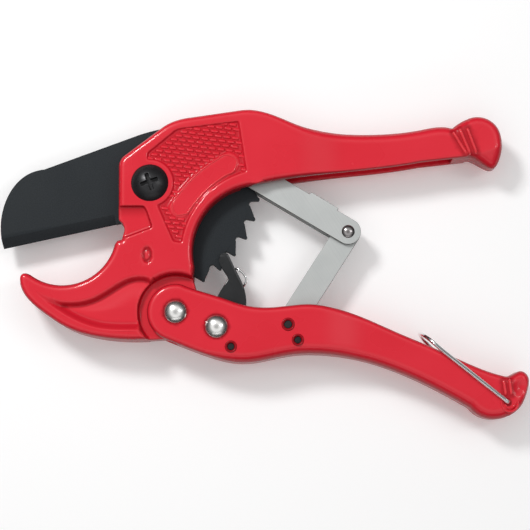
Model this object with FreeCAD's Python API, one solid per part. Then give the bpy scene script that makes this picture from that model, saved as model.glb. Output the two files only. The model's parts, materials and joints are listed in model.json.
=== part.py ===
import FreeCAD, Part
import math
import os

os.makedirs("parts", exist_ok=True)

V = FreeCAD.Vector

# ---------------------------------------------------------------- driving dimensions (mm, degrees)
# The tool lies on its back: X runs from the jaw to the handle ends, Y from the moving handle to the
# fixed one, Z up through its thickness. Places are first given from the blade pivot axis.
BODY_T = 20.0                  # thickness of the jaw and of the lower handle's ears
GRIP_T = 15.6                  # thickness of both grips, so that the bail's legs stay inside BODY_T
GRIP_WALL = 2.6                # side walls of the channel in each grip
MID = BODY_T / 2
CHANNEL_LOW = (BODY_T - GRIP_T) / 2 + GRIP_WALL

SEAT = V(-34.3, -19.4, 0)      # axis of the pipe that the hook jaw holds
SEAT_R = 21.2                  # takes a pipe of 42 mm
HANDLE_PIVOT = V(10.5, -51.2, 0)
PAWL_PIVOT = V(26.6, -57.0, 0)
PAWL_SPRING_PIN = V(32.3, -64.9, 0)
LOWER_LINK_PIVOT = V(54.7, -56.2, 0)
KNEE = V(78.8, -18.6, 0)
UPPER_LINK_PIVOT = V(42.4, 3.2, 0)
BAIL_PIVOT = V(140.4, -86.5, 0)

BLADE_T = 3.0
SLOT_CLEAR = 0.2               # each side of the blade in its slot
BLADE_OPEN = 43.0              # swing from rest to wide open
BLADE_SHUT = 31.0              # swing from rest to the end of the cut
EDGE_ANGLE = 12.4              # slope of the cutting edge at rest
EDGE_OFFSET = 12.0             # distance of the cutting edge from the blade pivot
BLADE_REACH = 64.0             # from the blade pivot to the point of the edge
HUB_R = 23.9                   # rounded back of the blade above its pivot
BACK_OFFSET = 21.5             # distance of the straight back from the pivot
BACK_NORMAL = 110.4            # direction square to the blade's straight back
BACK_CREST = 80.0              # the back bends down onto the hub circle here, and leaves it at HUB_END
HUB_END = 52.0
BACK_RUN = 20.0                # length of the slot's straight side, wide open
NOSE_SETBACK = 26.0            # the straight back ends this much short of the blade's reach
BEVEL = 4.0                    # width of the ground bevel along the edge
TEETH = 7
TOOTH_PITCH = 10.8
FIRST_TOOTH = -60.9            # direction of the lowest tooth's tip
TIP_R = 43.8
GULLET_R = 40.2
SWEEP_CLEAR = 0.7              # room round the blade's sweep in the body

RUN_FIT = 0.05                 # radial clearance of a turning fit
EAR_R = 11.3
EAR_T = 4.8
EAR_GAP = 0.3                  # between each ear and the lug
LUG_R = 10.0
EAR_RECESS_R = 15.0            # the lug's thinned face round the handle pivot
RIVET_R = 3.0
RIVET_HEAD_R = 4.6
RIVET_HEAD_H = 2.2
TAIL_R = 4.2                   # rivet tail, sunk in the back face
TAIL_H = 1.6
RIVET_WASHER_T = 0.8
BUSH_WALL = 1.2

SCREW_HEAD_R = 7.45
SCREW_HEAD_H = 3.4
SCREW_R = 3.0
NUT_ACROSS = 10.0
NUT_H = 4.6
NUT_SINK = 0.4                 # the nut stays below the back face
SPRING_WASHER_T = 1.2

SHEET = 1.2                    # steel of both links
LINK_W = 10.2
UPPER_LINK_OUT = 7.6           # outside width of the upper link's fold
LOWER_LINK_OUT = 4.2
UPPER_WEB = (0.51, 0.81)       # stretch of the upper link that its folded web covers, as shares of it
LOWER_WEB = (0.20, 0.78)       # and of the lower link
WEB_PROUD = 1.0                # how far the upper link's folded web stands out of its cheeks
KNEE_R = 1.5
KNEE_HEAD_R = 2.7
KNEE_HEAD_H = 1.1
STUB_R = 2.0                   # pressed stubs of the upper link, in blind pockets of the body
STUB_H = 3.0
STUB_PLAY = V(1.1, 0.9, 0)      # travel that the open pivot leaves each stub in its pocket
STUB_CLEAR = 0.5
PIN_R = 1.6
STOP_PIN_R = 1.4
STOP_GAP = 0.69                # from the lower link's flank to the spring stop pin beside it
STOP_TURN = math.radians(-58.1)  # direction of that pin from the lower link's pivot
STOP_REACH = LINK_W / 2 + STOP_GAP + STOP_PIN_R
SPRING_STOP_PIN = LOWER_LINK_PIVOT + V(STOP_REACH * math.cos(STOP_TURN), STOP_REACH * math.sin(STOP_TURN), 0)

PAWL_OUT = 7.0
PAWL_SHEET = 1.5
PAWL_EYE_R = 6.2
SPACER_R = 5.0

WIRE_R = 0.8                   # bail
BAIL_LEG = 34.0
BAIL_ANGLE = 141.5
BAIL_END = 2.2                 # how far each end of the bail enters its hole
SPRING_WIRE_R = 0.45

PANEL_DEPTH = 1.0
TAIL_LEVEL = 0.2               # the rivets' tails end just above the resting plane
SIDE_PLAY = 0.1                # clearance left at the sides of loose pieces
PAD_CENTRE = V(54.0, -35.6, 0)
PAD_START = 150                # directions of the pad's two ends from that centre
PAD_END = 116
BOSS_R = 9.3                   # unsunk ring that the panel leaves round the screw
GRIND_START = 17.0             # the ground edge begins this far behind the edge's inner end
GRIND_OVERRUN = 3.0
EDGE_LAND = 0.12
PAD_INNER_R = 45.2             # the pad follows the window's curve between these two radii
PAD_OUTER_R = 53.0
POCKET_DEPTH = 1.4             # sunk corner below the screw, at the front edge
GROOVE_W = 1.1                 # two grooves round the neck of the upper grip's knob
GROOVE_DEPTH = 0.5
GROOVE_PITCH = 2.3
CROSS_SPAN = 7.2               # cross recess of the screw, and its turn from the X axis
CROSS_WIDTH = 1.5
CROSS_DEPTH = 2.4
CROSS_TURN = 20
PAD_DROP = 0.25                # how far the blank name pad stays below the face round the panel
HOOK_FIELD_DEPTH = 2.4


# ---------------------------------------------------------------- helpers
def polar(radius, angle, centre=V(0, 0, 0)):
    turn = math.radians(angle)
    return V(centre.x + radius * math.cos(turn), centre.y + radius * math.sin(turn), 0)


def points(*pairs):
    return [V(x, y, 0) for x, y in pairs]


def line(*stops):
    return [Part.makeLine(a, b) for a, b in zip(stops[:-1], stops[1:])]


def curve(*stops):
    spline = Part.BSplineCurve()
    spline.interpolate(list(stops))
    return [spline.toShape()]


def arc(start, middle, end):
    return [Part.Arc(start, middle, end).toShape()]


def plate(edges, bottom, top):
    face = Part.Face(Part.Wire(Part.__sortEdges__(edges)))
    solid = face.extrude(V(0, 0, top - bottom))
    solid.translate(V(0, 0, bottom))
    return solid


def disc(centre, radius, bottom, top):
    return Part.makeCylinder(radius, top - bottom, V(centre.x, centre.y, bottom))


def ring(centre, outer, inner, bottom, top):
    return disc(centre, outer, bottom, top).cut(disc(centre, inner, bottom - 1, top + 1))


def dome(centre, radius, height, base):
    """A low spherical cap that stands on the plane z = base."""
    ball_r = (radius ** 2 + height ** 2) / (2 * height)
    ball = Part.makeSphere(ball_r, V(centre.x, centre.y, base + height - ball_r))
    return ball.common(disc(centre, radius + 1, base, base + height + 1))


def rod(start, end, radius):
    return Part.makeCylinder(radius, (end - start).Length, start, end - start)


def bar(start, end, width, bottom, top):
    """A flat strip with rounded ends, centred on the line from start to end."""
    along = (end - start).normalize()
    side = V(-along.y, along.x, 0) * (width / 2)
    edges = line(start + side, end + side) + line(end - side, start - side)
    edges += arc(end + side, end + along * (width / 2), end - side)
    edges += arc(start - side, start - along * (width / 2), start + side)
    return plate(edges, bottom, top)


def both_faces(solid):
    """The solid and its mirror image in the tool's middle plane."""
    return [solid, solid.mirror(V(0, 0, MID), V(0, 0, 1))]


def save(name, solid):
    moved = solid.copy()
    moved.translate(-SEAT)
    moved.exportStep(os.path.join("parts", name + ".step"))


# ---------------------------------------------------------------- outlines
HOOK_TIP = points((-48.6, -35.7), (-50.3, -36.0), (-51.2, -38.1))
HOOK_BACK = points((-51.2, -38.1), (-49.3, -43.8), (-41.2, -51.6), (-32.0, -57.4), (-19.0, -61.1),
                   (-6.2, -62.1), (4.4, -61.7), (10.5, -61.2))
NOTCH = points((-13.7, -24.2), (-12.7, -22.9), (-11.0, -22.5), (-9.9, -18.5), (-10.6, -16.2),
               (-12.3, -14.6), (-12.5, 7.0))
BROW = points((-12.5, 7.0), (-11.9, 9.4), (-9.9, 11.6))
DIAGONAL_END = V(4.0, 22.2, 0)
CROWN = points((4.0, 22.2), (7.4, 24.4), (11.7, 26.0), (16.0, 26.8))
CREST_START = V(35.7, 29.7, 0)
TOP_OF_GRIP = points((35.7, 29.7), (42.0, 29.7), (51.1, 27.0), (60.0, 23.5), (68.4, 21.7), (77.6, 20.7),
                     (88.4, 20.5), (100.7, 21.3), (108.3, 22.5), (116.0, 23.7), (120.8, 23.0))
KNOB = points((120.8, 23.0), (124.6, 25.8), (132.2, 27.6), (138.4, 24.0), (140.6, 16.0), (139.6, 10.4),
              (137.2, 7.0), (133.9, 7.9), (127.7, 11.2))
LOWER_LIP = points((127.7, 11.2), (108.1, 9.0), (77.5, 5.0), (50.8, 1.6), (39.9, -0.8))
WINDOW = points((39.9, -0.8), (22.0, -11.6), (17.7, -33.1))
WINDOW_FOOT = points((17.2, -38.0), (18.6, -42.7))


def body_outline():
    cradle_start = V(-48.6, -35.7, 0)
    cradle_low = polar(SEAT_R, -126.9, SEAT)
    cradle_high = NOTCH[0]
    edges = curve(*HOOK_TIP) + curve(*HOOK_BACK)
    edges += line(cradle_start, cradle_low)
    edges += arc(cradle_low, polar(SEAT_R, -75, SEAT), cradle_high)
    edges += line(*NOTCH) + curve(*BROW) + line(BROW[-1], DIAGONAL_END) + curve(*CROWN)
    edges += line(CROWN[-1], CREST_START) + curve(*TOP_OF_GRIP) + curve(*KNOB)
    edges += line(LOWER_LIP[0], LOWER_LIP[1]) + curve(*LOWER_LIP[1:]) + arc(*WINDOW)
    lug_top = polar(LUG_R, 45, HANDLE_PIVOT)
    lug_low = polar(LUG_R, -90, HANDLE_PIVOT)
    edges += line(WINDOW[-1], *WINDOW_FOOT, lug_top)
    edges += arc(lug_top, polar(LUG_R, -20, HANDLE_PIVOT), lug_low)
    return edges


HANDLE_TOP = points((12.4, -40.2), (17.5, -42.1), (27.6, -45.2), (37.7, -48.5), (45.2, -49.4),
                    (54.0, -48.8), (62.9, -48.1), (71.3, -49.2), (80.4, -51.7), (96.4, -58.5),
                    (115.3, -66.6), (133.7, -74.6), (139.6, -76.3))
HANDLE_END = points((139.6, -76.3), (143.3, -75.4), (146.4, -74.2), (148.9, -76.0), (148.9, -81.1),
                    (145.5, -88.6), (137.2, -93.0), (126.0, -88.6))
HANDLE_BACK = points((126.0, -88.6), (106.2, -78.1), (86.2, -70.6), (71.2, -67.8), (55.2, -68.0),
                     (36.5, -71.0), (22.7, -68.0), (6.5, -61.8))


def lower_handle_outline():
    edges = curve(*HANDLE_TOP) + curve(*HANDLE_END) + curve(*HANDLE_BACK)
    edges += arc(HANDLE_BACK[-1], polar(EAR_R, 180, HANDLE_PIVOT), HANDLE_TOP[0])
    return edges


def side_profile(start, taper, end):
    """Keeps the full thickness up to start, then narrows to the grip's over the taper length."""
    step = (BODY_T - GRIP_T) / 2
    far = end + 20
    corners = [V(-80, -120, 0), V(start, -120, 0), V(start + taper, -120, step), V(far, -120, step)]
    corners += [V(far, -120, BODY_T - step), V(start + taper, -120, BODY_T - step)]
    corners += [V(start, -120, BODY_T), V(-80, -120, BODY_T)]
    face = Part.Face(Part.makePolygon(corners + corners[:1]))
    return face.extrude(V(0, 180, 0))


# ---------------------------------------------------------------- body
def blade_room():
    """The slot that the blade and its sector sweep through, from wide open to shut."""
    low = MID - BLADE_T / 2 - SLOT_CLEAR
    high = MID + BLADE_T / 2 + SLOT_CLEAR
    sector_r = TIP_R + SWEEP_CLEAR
    start = FIRST_TOOTH - BLADE_OPEN - 7
    end = FIRST_TOOTH + (TEETH - 1) * TOOTH_PITCH + BLADE_SHUT + 2
    edges = line(V(0, 0, 0), polar(sector_r, start))
    edges += arc(polar(sector_r, start), polar(sector_r, (start + end) / 2), polar(sector_r, end))
    edges += line(polar(sector_r, end), polar(32, end + 13), polar(HUB_R, end + 50), V(0, 0, 0))
    sector = plate(edges, low, high)
    hub = disc(V(0, 0, 0), HUB_R + SWEEP_CLEAR, low, high)
    # wide open, the blade's straight back lies just outside the hub circle
    touch = polar(BACK_OFFSET + SWEEP_CLEAR, BACK_NORMAL - BLADE_OPEN)
    back_end = touch + polar(BACK_RUN, BACK_NORMAL - BLADE_OPEN + 90)
    back = plate(line(V(0, 0, 0), touch, back_end, V(0, 0, 0)), low, high)
    # the cutting side: all that lies above the edge where it ends, out to the blade's point
    shut = EDGE_ANGLE + BLADE_SHUT + 0.5
    foot = polar(EDGE_OFFSET + SWEEP_CLEAR, shut - 90)
    along = polar(1, shut)
    reach = BLADE_REACH + SWEEP_CLEAR
    far = foot - along * math.sqrt(reach ** 2 - foot.Length ** 2)
    span = 90
    edges = line(foot, far) + arc(far, polar(reach, shut + 180 + 10 - span / 2), polar(reach, shut + 180 - span))
    edges += line(polar(reach, shut + 180 - span), foot)
    return [sector, hub, back, plate(edges, low, high)]


def grip_channel():
    """The upper grip is a channel that opens towards the lower handle."""
    low = CHANNEL_LOW
    high = BODY_T - low
    roof = points((45.0, 22.5), (60.0, 18.2), (77.6, 15.4), (100.7, 15.9), (117.0, 17.6))
    edges = curve(*roof) + line(roof[-1], V(120.5, 14.0, 0), V(121.5, 4.0, 0), V(60, -8, 0), V(36, -8, 0))
    edges += line(V(36, -8, 0), V(36, 12, 0), roof[0])
    return plate(edges, low, high)


def name_pad():
    """A blank raised pad across the panel, following the window's curve."""
    inner = PAD_INNER_R
    outer = PAD_OUTER_R
    middle = (inner + outer) / 2
    half_way = (PAD_START + PAD_END) / 2

    def at(radius, angle):
        return polar(radius, angle, PAD_CENTRE)

    edges = arc(at(inner, PAD_START - 1), at(inner, half_way), at(inner, PAD_END + 1))
    edges += arc(at(outer, PAD_START), at(outer, half_way), at(outer, PAD_END))
    edges += arc(at(inner, PAD_START - 1), at(middle, PAD_START + 3), at(outer, PAD_START))
    edges += arc(at(inner, PAD_END + 1), at(middle, PAD_END - 3), at(outer, PAD_END))
    return plate(edges, BODY_T - 2, BODY_T - PAD_DROP)


def panel(depth):
    """The sunk, textured panel behind the screw, open round the screw's boss."""
    corners = points((-1.0, 12.2), (8.6, 20.2), (11.6, 22.0), (35.2, 25.0))
    edges = line(corners[0], corners[1]) + curve(corners[1], V(10.0, 21.3, 0), corners[2])
    edges += line(corners[2], corners[3])
    edges += line(corners[3], V(38.4, 4.6, 0))
    edges += arc(V(38.4, 4.6, 0), V(20.6, -6.6, 0), V(12.8, -24.0, 0))
    edges += line(V(12.8, -24.0, 0), V(9.4, -23.4, 0), V(3.0, -8.8, 0))
    boss_low = polar(BOSS_R, -68)
    boss_high = polar(BOSS_R, 97)
    edges += line(V(3.0, -8.8, 0), boss_low)
    edges += arc(boss_low, polar(BOSS_R, 15), boss_high)
    edges += line(boss_high, corners[0])
    return plate(edges, BODY_T - depth, BODY_T + 1).cut(name_pad())


def front_pocket():
    edges = line(*points((-14, -9.2), (-2.2, -9.2), (-1.0, -11.4), (1.2, -17.8), (-14, -23.6), (-14, -9.2)))
    return plate(edges, BODY_T - POCKET_DEPTH, BODY_T + 1)


def hook_field():
    """The sunk field of the hook, between the cradle's band and the bottom rib."""
    band = points((-47.4, -40.4), (-39.0, -45.2), (-31.1, -46.4), (-23.6, -45.2), (-16.1, -41.2),
                  (-10.7, -37.9), (-6.1, -36.3), (1.5, -37.3))
    rib = points((-0.5, -58.9), (-8.5, -58.9), (-18.5, -58.4), (-28.6, -55.2), (-37.0, -50.2), (-44.4, -43.8),
                 (-47.4, -40.4))
    edges = curve(*band) + curve(*rib) + line(band[-1], V(6.0, -42.0, 0), V(6.0, -55.0, 0), rib[0])
    return plate(edges, BODY_T - HOOK_FIELD_DEPTH, BODY_T + 1)


def knob_grooves():
    cuts = []
    for shift in (0.0, GROOVE_PITCH):
        start = V(120.3 + shift, 21.6, 0)
        end = V(124.6 + shift, 12.9, 0)
        cuts.append(bar(start, end, GROOVE_W, MID + GRIP_T / 2 - GROOVE_DEPTH, BODY_T))
    return cuts


def stub_pocket():
    """Blind pocket in the near wall for one stub of the upper link: long, as the linkage is open here."""
    depth = UPPER_LINK_OUT / 2 + STUB_H + STUB_CLEAR
    width = 2 * (STUB_R + STUB_CLEAR)
    return bar(UPPER_LINK_PIVOT - STUB_PLAY, UPPER_LINK_PIVOT + STUB_PLAY, width, MID, MID + depth)


def body_casting():
    body = plate(body_outline(), 0, BODY_T).common(side_profile(56, 22, 145))
    lug_face = BODY_T - EAR_T - EAR_GAP
    cuts = blade_room() + [grip_channel()]
    cuts += both_faces(disc(HANDLE_PIVOT, EAR_RECESS_R, lug_face, BODY_T + 1))
    cuts += both_faces(panel(PANEL_DEPTH)) + both_faces(front_pocket()) + both_faces(hook_field())
    for groove in knob_grooves():
        cuts += both_faces(groove)
    cuts += both_faces(stub_pocket())
    cuts.append(disc(HANDLE_PIVOT, RIVET_R + BUSH_WALL + RUN_FIT, -1, BODY_T + 1))
    cuts.append(disc(V(0, 0, 0), SCREW_R + RUN_FIT, -1, BODY_T + 1))
    cuts.append(hexagon(NUT_ACROSS + 4 * RUN_FIT, -1, NUT_SINK + NUT_H + SPRING_WASHER_T))
    return body.cut(cuts)


# ---------------------------------------------------------------- blade and its pivot
def tooth_edges(first, last):
    """Edges of the ratchet from tooth first to tooth last, hooked so that the pawl drives them upwards."""
    edges = []
    previous = None
    for index in range(first, last + 1):
        tip = FIRST_TOOTH + index * TOOTH_PITCH
        under = [polar(GULLET_R + 0.4, tip - 4.6), polar(GULLET_R - 0.3, tip - 3.0),
                 polar(GULLET_R + 0.5, tip - 1.5)]
        nose = [polar(TIP_R - 0.5, tip - 0.9), polar(TIP_R, tip), polar(TIP_R - 0.5, tip + 0.8)]
        if previous is not None:
            edges += line(previous, under[0])
            edges += arc(*under) + line(under[2], nose[0])
        edges += arc(*nose)
        previous = nose[2]
    return edges


def blade():
    low = MID - BLADE_T / 2
    edge_dir = polar(1, EDGE_ANGLE)
    foot = polar(EDGE_OFFSET, EDGE_ANGLE - 90)
    point = foot - edge_dir * math.sqrt(BLADE_REACH ** 2 - EDGE_OFFSET ** 2)
    heel = foot - edge_dir * 4
    first_nose = polar(TIP_R - 0.5, FIRST_TOOTH - 0.9)
    last = FIRST_TOOTH + (TEETH - 1) * TOOTH_PITCH
    last_nose = polar(TIP_R - 0.5, last + 0.8)
    back_touch = polar(BACK_OFFSET, BACK_NORMAL)
    crest = polar(HUB_R, BACK_CREST)
    nose_top = back_touch + polar(BLADE_REACH - NOSE_SETBACK, BACK_NORMAL + 90)
    bow = points((-1.2, 6.2), (0.3, 18.7), (6.0, 27.8))
    front = [point] + [point + step for step in bow] + [nose_top]
    edges = line(heel, point) + curve(*front) + line(nose_top, back_touch)
    edges += curve(back_touch, polar(BACK_OFFSET + 0.4, BACK_NORMAL - 12), crest)
    edges += arc(crest, polar(HUB_R, (BACK_CREST + HUB_END) / 2), polar(HUB_R, HUB_END))
    edges += line(polar(HUB_R, HUB_END), polar(31, last + 12), last_nose)
    edges += tooth_edges(0, TEETH - 1)
    edges += line(first_nose, polar(TIP_R - 5, FIRST_TOOTH - 5), polar(EDGE_OFFSET + 3, FIRST_TOOTH - 7), heel)
    solid = plate(edges, low, low + BLADE_T)
    solid = solid.cut(disc(V(0, 0, 0), SCREW_R + BUSH_WALL + 2 * RUN_FIT, 0, BODY_T))
    return solid.cut(edge_bevels(heel, point, foot, edge_dir))


def edge_bevels(heel, point, foot, edge_dir):
    """Wedges that grind both faces of the blade down to the edge, in front of the body."""
    inward = polar(1, EDGE_ANGLE + 90)
    start = foot - edge_dir * GRIND_START
    end = point - edge_dir * GRIND_OVERRUN
    half = BLADE_T / 2 + 1
    wedges = []
    for side in (1, -1):
        corners = [V(0, 0, MID + side * EDGE_LAND), V(0, 0, MID + side * half),
                   inward * (BEVEL * (half - EDGE_LAND) / (BLADE_T / 2 - EDGE_LAND)) + V(0, 0, MID + side * half)]
        shift = [start + corner for corner in corners]
        face = Part.Face(Part.makePolygon(shift + shift[:1]))
        wedges.append(face.extrude(end - start))
    return wedges


def hexagon(across, bottom, top):
    radius = across / math.sqrt(3)
    corners = [polar(radius, 60 * turn) for turn in range(6)]
    return plate(line(*corners, corners[0]), bottom, top)


def cross_recess(base, depth):
    long = CROSS_SPAN / 2
    short = CROSS_WIDTH / 2
    arms = [Part.makeBox(2 * long, 2 * short, depth + 1, V(-long, -short, base)),
            Part.makeBox(2 * short, 2 * long, depth + 1, V(-short, -long, base))]
    recess = arms[0].fuse(arms[1])
    recess.rotate(V(0, 0, 0), V(0, 0, 1), CROSS_TURN)
    return recess


def blade_pivot_screw():
    top = BODY_T + SCREW_HEAD_H
    head = dome(V(0, 0, 0), SCREW_HEAD_R, SCREW_HEAD_H, BODY_T).cut(cross_recess(top - CROSS_DEPTH, CROSS_DEPTH))
    shank = disc(V(0, 0, 0), SCREW_R, NUT_SINK, BODY_T)
    return head.fuse(shank)


def blade_pivot_bush():
    low = MID - BLADE_T / 2 - SLOT_CLEAR / 2
    return ring(V(0, 0, 0), SCREW_R + BUSH_WALL, SCREW_R + RUN_FIT, low, low + BLADE_T + SLOT_CLEAR)


def blade_pivot_nut():
    nut = hexagon(NUT_ACROSS, NUT_SINK, NUT_SINK + NUT_H)
    return nut.cut(disc(V(0, 0, 0), SCREW_R + RUN_FIT, -1, BODY_T))


def blade_pivot_washer():
    base = NUT_SINK + NUT_H
    return ring(V(0, 0, 0), NUT_ACROSS / 2 - SIDE_PLAY, SCREW_R + RUN_FIT, base, base + SPRING_WASHER_T)


# ---------------------------------------------------------------- lower handle and its rivets
def handle_channel():
    """Opens towards the upper handle; the floor follows the handle's back."""
    low = CHANNEL_LOW
    floor = points((18.0, -60.6), (27.0, -64.0), (37.0, -66.4), (55.0, -63.8), (71.0, -63.4), (86.0, -66.0),
                   (106.0, -73.6), (124.0, -82.6))
    edges = curve(*floor) + line(floor[-1], V(133.0, -72.0, 0), V(120, -40, 0), V(16, -34, 0), floor[0])
    return plate(edges, low, BODY_T - low)


def rivet_holes(centre):
    holes = [disc(centre, RIVET_R + RUN_FIT, -1, BODY_T + 1)]
    holes.append(disc(centre, TAIL_R + RUN_FIT, -1, TAIL_H + RIVET_WASHER_T + TAIL_LEVEL))
    return holes


def lower_handle():
    handle = plate(lower_handle_outline(), 0, BODY_T).common(side_profile(66, 20, 150))
    lug_room = disc(HANDLE_PIVOT, LUG_R + 0.6, EAR_T, BODY_T - EAR_T)
    corners = points((10.5, -66), (-5, -66), (-5, -34), (19, -34), (19, -52), (10.5, -52), (10.5, -66))
    behind = plate(line(*corners), EAR_T, BODY_T - EAR_T)
    cuts = [handle_channel(), lug_room, behind]
    cuts += rivet_holes(HANDLE_PIVOT) + rivet_holes(PAWL_PIVOT)
    cuts.append(disc(PAWL_SPRING_PIN, STOP_PIN_R + RUN_FIT, -1, BODY_T + 1))
    cuts.append(disc(LOWER_LINK_PIVOT, PIN_R + RUN_FIT, -1, BODY_T + 1))
    cuts.append(disc(SPRING_STOP_PIN, STOP_PIN_R + RUN_FIT, -1, BODY_T + 1))
    step = (BODY_T - GRIP_T) / 2
    cuts += both_faces(disc(BAIL_PIVOT, WIRE_R + RUN_FIT, BODY_T - step - BAIL_END - 0.6, BODY_T + 1))
    return handle.cut(cuts)


def domed_rivet(centre):
    low = TAIL_LEVEL
    head = dome(centre, RIVET_HEAD_R, RIVET_HEAD_H, BODY_T)
    shank = disc(centre, RIVET_R, low + SIDE_PLAY, BODY_T)
    tail = disc(centre, TAIL_R, low, low + TAIL_H)
    return head.fuse([shank, tail])


def rivet_washer(centre):
    base = TAIL_LEVEL + TAIL_H
    return ring(centre, TAIL_R, RIVET_R + RUN_FIT, base, base + RIVET_WASHER_T)


def handle_pivot_bush():
    low = EAR_T + EAR_GAP / 2
    return ring(HANDLE_PIVOT, RIVET_R + BUSH_WALL, RIVET_R + RUN_FIT, low, BODY_T - low)


def cross_pin(centre, radius):
    return disc(centre, radius, 0.5, BODY_T - 0.5)


# ---------------------------------------------------------------- pawl
def pawl_outline():
    eye = PAWL_PIVOT
    right = points((30.4, -27.3), (33.8, -33.6), (36.9, -40.0), (38.1, -44.8), (37.6, -50.0))
    left = points((27.6, -29.2), (29.7, -34.8), (31.0, -38.1), (29.3, -40.4), (26.9, -44.4), (22.0, -50.4))
    edges = curve(left[0], V(28.6, -27.4, 0), right[0]) + curve(*right) + curve(*left)
    eye_right = polar(PAWL_EYE_R, 15, eye)
    eye_left = polar(PAWL_EYE_R, 140, eye)
    edges += line(right[-1], eye_right) + arc(eye_right, polar(PAWL_EYE_R, -90, eye), eye_left)
    edges += line(eye_left, left[-1])
    return edges


def pawl():
    low = MID - PAWL_OUT / 2
    solid = plate(pawl_outline(), low, low + PAWL_OUT)
    inner = plate(pawl_outline(), low + PAWL_SHEET, low + PAWL_OUT - PAWL_SHEET)
    # the web joins the cheeks along the right side, outside the circle of the tooth tips
    web = bar(V(35.4, -38.6, 0), V(36.8, -47.0, 0), 2.0, low, low + PAWL_OUT)
    solid = solid.cut(inner.cut(web))
    return solid.cut(disc(PAWL_PIVOT, RIVET_R + RUN_FIT, 0, BODY_T))


def pawl_spacers():
    gap = MID - PAWL_OUT / 2
    near = ring(PAWL_PIVOT, SPACER_R, RIVET_R + RUN_FIT, CHANNEL_LOW + SIDE_PLAY, gap - SIDE_PLAY)
    return Part.makeCompound(both_faces(near))


def pawl_spring():
    half = PAWL_OUT / 2 - PAWL_SHEET - 0.3
    coil = ring(PAWL_PIVOT, RIVET_R + 0.3 + 2 * SPRING_WIRE_R, RIVET_R + 0.3, MID - half, MID + half)
    start = PAWL_PIVOT + V(RIVET_R + 0.6, 0, MID)
    leg = rod(start, V(34.4, -46.6, MID), SPRING_WIRE_R)
    tail_end = PAWL_PIVOT + V(-2.6, -5.6, MID)
    tail = rod(PAWL_PIVOT + V(-RIVET_R - 0.6, 0, MID), tail_end, SPRING_WIRE_R)
    return coil.fuse([leg, tail])


# ---------------------------------------------------------------- links
def folded_link(start, end, out_width, stretch, proud):
    """Two cheeks and a web: sheet steel folded along one edge."""
    low = MID - out_width / 2
    solid = bar(start, end, LINK_W, low, low + out_width)
    room = bar(start, end, LINK_W + 2, low + SHEET, low + out_width - SHEET)
    along = (end - start).normalize()
    side = V(-along.y, along.x, 0)
    web_start = start + (end - start) * stretch[0]
    web_end = start + (end - start) * stretch[1]
    outer = LINK_W / 2 + proud
    inner = outer - SHEET - proud / 2
    corners = [web_start + side * outer, web_end + side * outer, web_end + side * inner, web_start + side * inner]
    web = plate(line(*corners, corners[0]), low, low + out_width)
    return solid.cut(room).fuse(web)


def upper_link():
    link = folded_link(UPPER_LINK_PIVOT, KNEE, UPPER_LINK_OUT, UPPER_WEB, WEB_PROUD)
    half = UPPER_LINK_OUT / 2
    stubs = both_faces(disc(UPPER_LINK_PIVOT, STUB_R, MID + half - SHEET, MID + half + STUB_H))
    return link.fuse(stubs).cut(disc(KNEE, KNEE_R + RUN_FIT, 0, BODY_T))


def lower_link():
    link = folded_link(LOWER_LINK_PIVOT, KNEE, LOWER_LINK_OUT, LOWER_WEB, 0)
    holes = [disc(KNEE, KNEE_R + RUN_FIT, 0, BODY_T), disc(LOWER_LINK_PIVOT, PIN_R + RUN_FIT, 0, BODY_T)]
    return link.cut(holes)


def link_rivet():
    half = UPPER_LINK_OUT / 2
    shank = disc(KNEE, KNEE_R, MID - half, MID + half)
    head = dome(KNEE, KNEE_HEAD_R, KNEE_HEAD_H, MID + half)
    return shank.fuse([head, head.mirror(V(0, 0, MID), V(0, 0, 1))])


def link_washers():
    inner = UPPER_LINK_OUT / 2 - SHEET
    near = ring(KNEE, KNEE_R + 2, KNEE_R + RUN_FIT, MID + LOWER_LINK_OUT / 2 + 0.04, MID + inner - 0.04)
    return Part.makeCompound(both_faces(near))


def opening_spring():
    half = LOWER_LINK_OUT / 2 - SHEET - SIDE_PLAY
    coil = ring(LOWER_LINK_PIVOT, PIN_R + 0.3 + 2 * SPRING_WIRE_R, PIN_R + 0.3, MID - half, MID + half)
    along = (KNEE - LOWER_LINK_PIVOT).normalize()
    side = V(-along.y, along.x, 0)
    start = LOWER_LINK_PIVOT + side * (PIN_R + 0.7) + V(0, 0, MID)
    leg = rod(start, start + along * 14, SPRING_WIRE_R)
    return coil.fuse(leg)


# ---------------------------------------------------------------- locking bail
def locking_bail():
    reach = WIRE_R + 0.2
    along = polar(1, BAIL_ANGLE)
    half = MID - reach
    near_start = BAIL_PIVOT + V(0, 0, MID + half)
    near_end = near_start + along * BAIL_LEG
    leg = rod(near_start, near_end, WIRE_R)
    knuckle = Part.makeSphere(WIRE_R, near_start)
    grip_face = BODY_T / 2 + GRIP_T / 2
    end = rod(BAIL_PIVOT + V(0, 0, grip_face - BAIL_END), near_start, WIRE_R)
    bow = Part.makeTorus(half, WIRE_R, V(0, 0, 0), V(0, 0, 1))
    keep = Part.makeBox(half + 2, 2 * half + 4, 4, V(0, -half - 2, -2))
    bow = bow.common(keep)
    bow.rotate(V(0, 0, 0), V(1, 0, 0), 90)
    bow.rotate(V(0, 0, 0), V(0, 0, 1), BAIL_ANGLE)
    bow.translate(BAIL_PIVOT + along * BAIL_LEG + V(0, 0, MID))
    halves = []
    for piece in (leg, knuckle, end):
        halves += both_faces(piece)
    return halves[0].fuse(halves[1:] + [bow])


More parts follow.
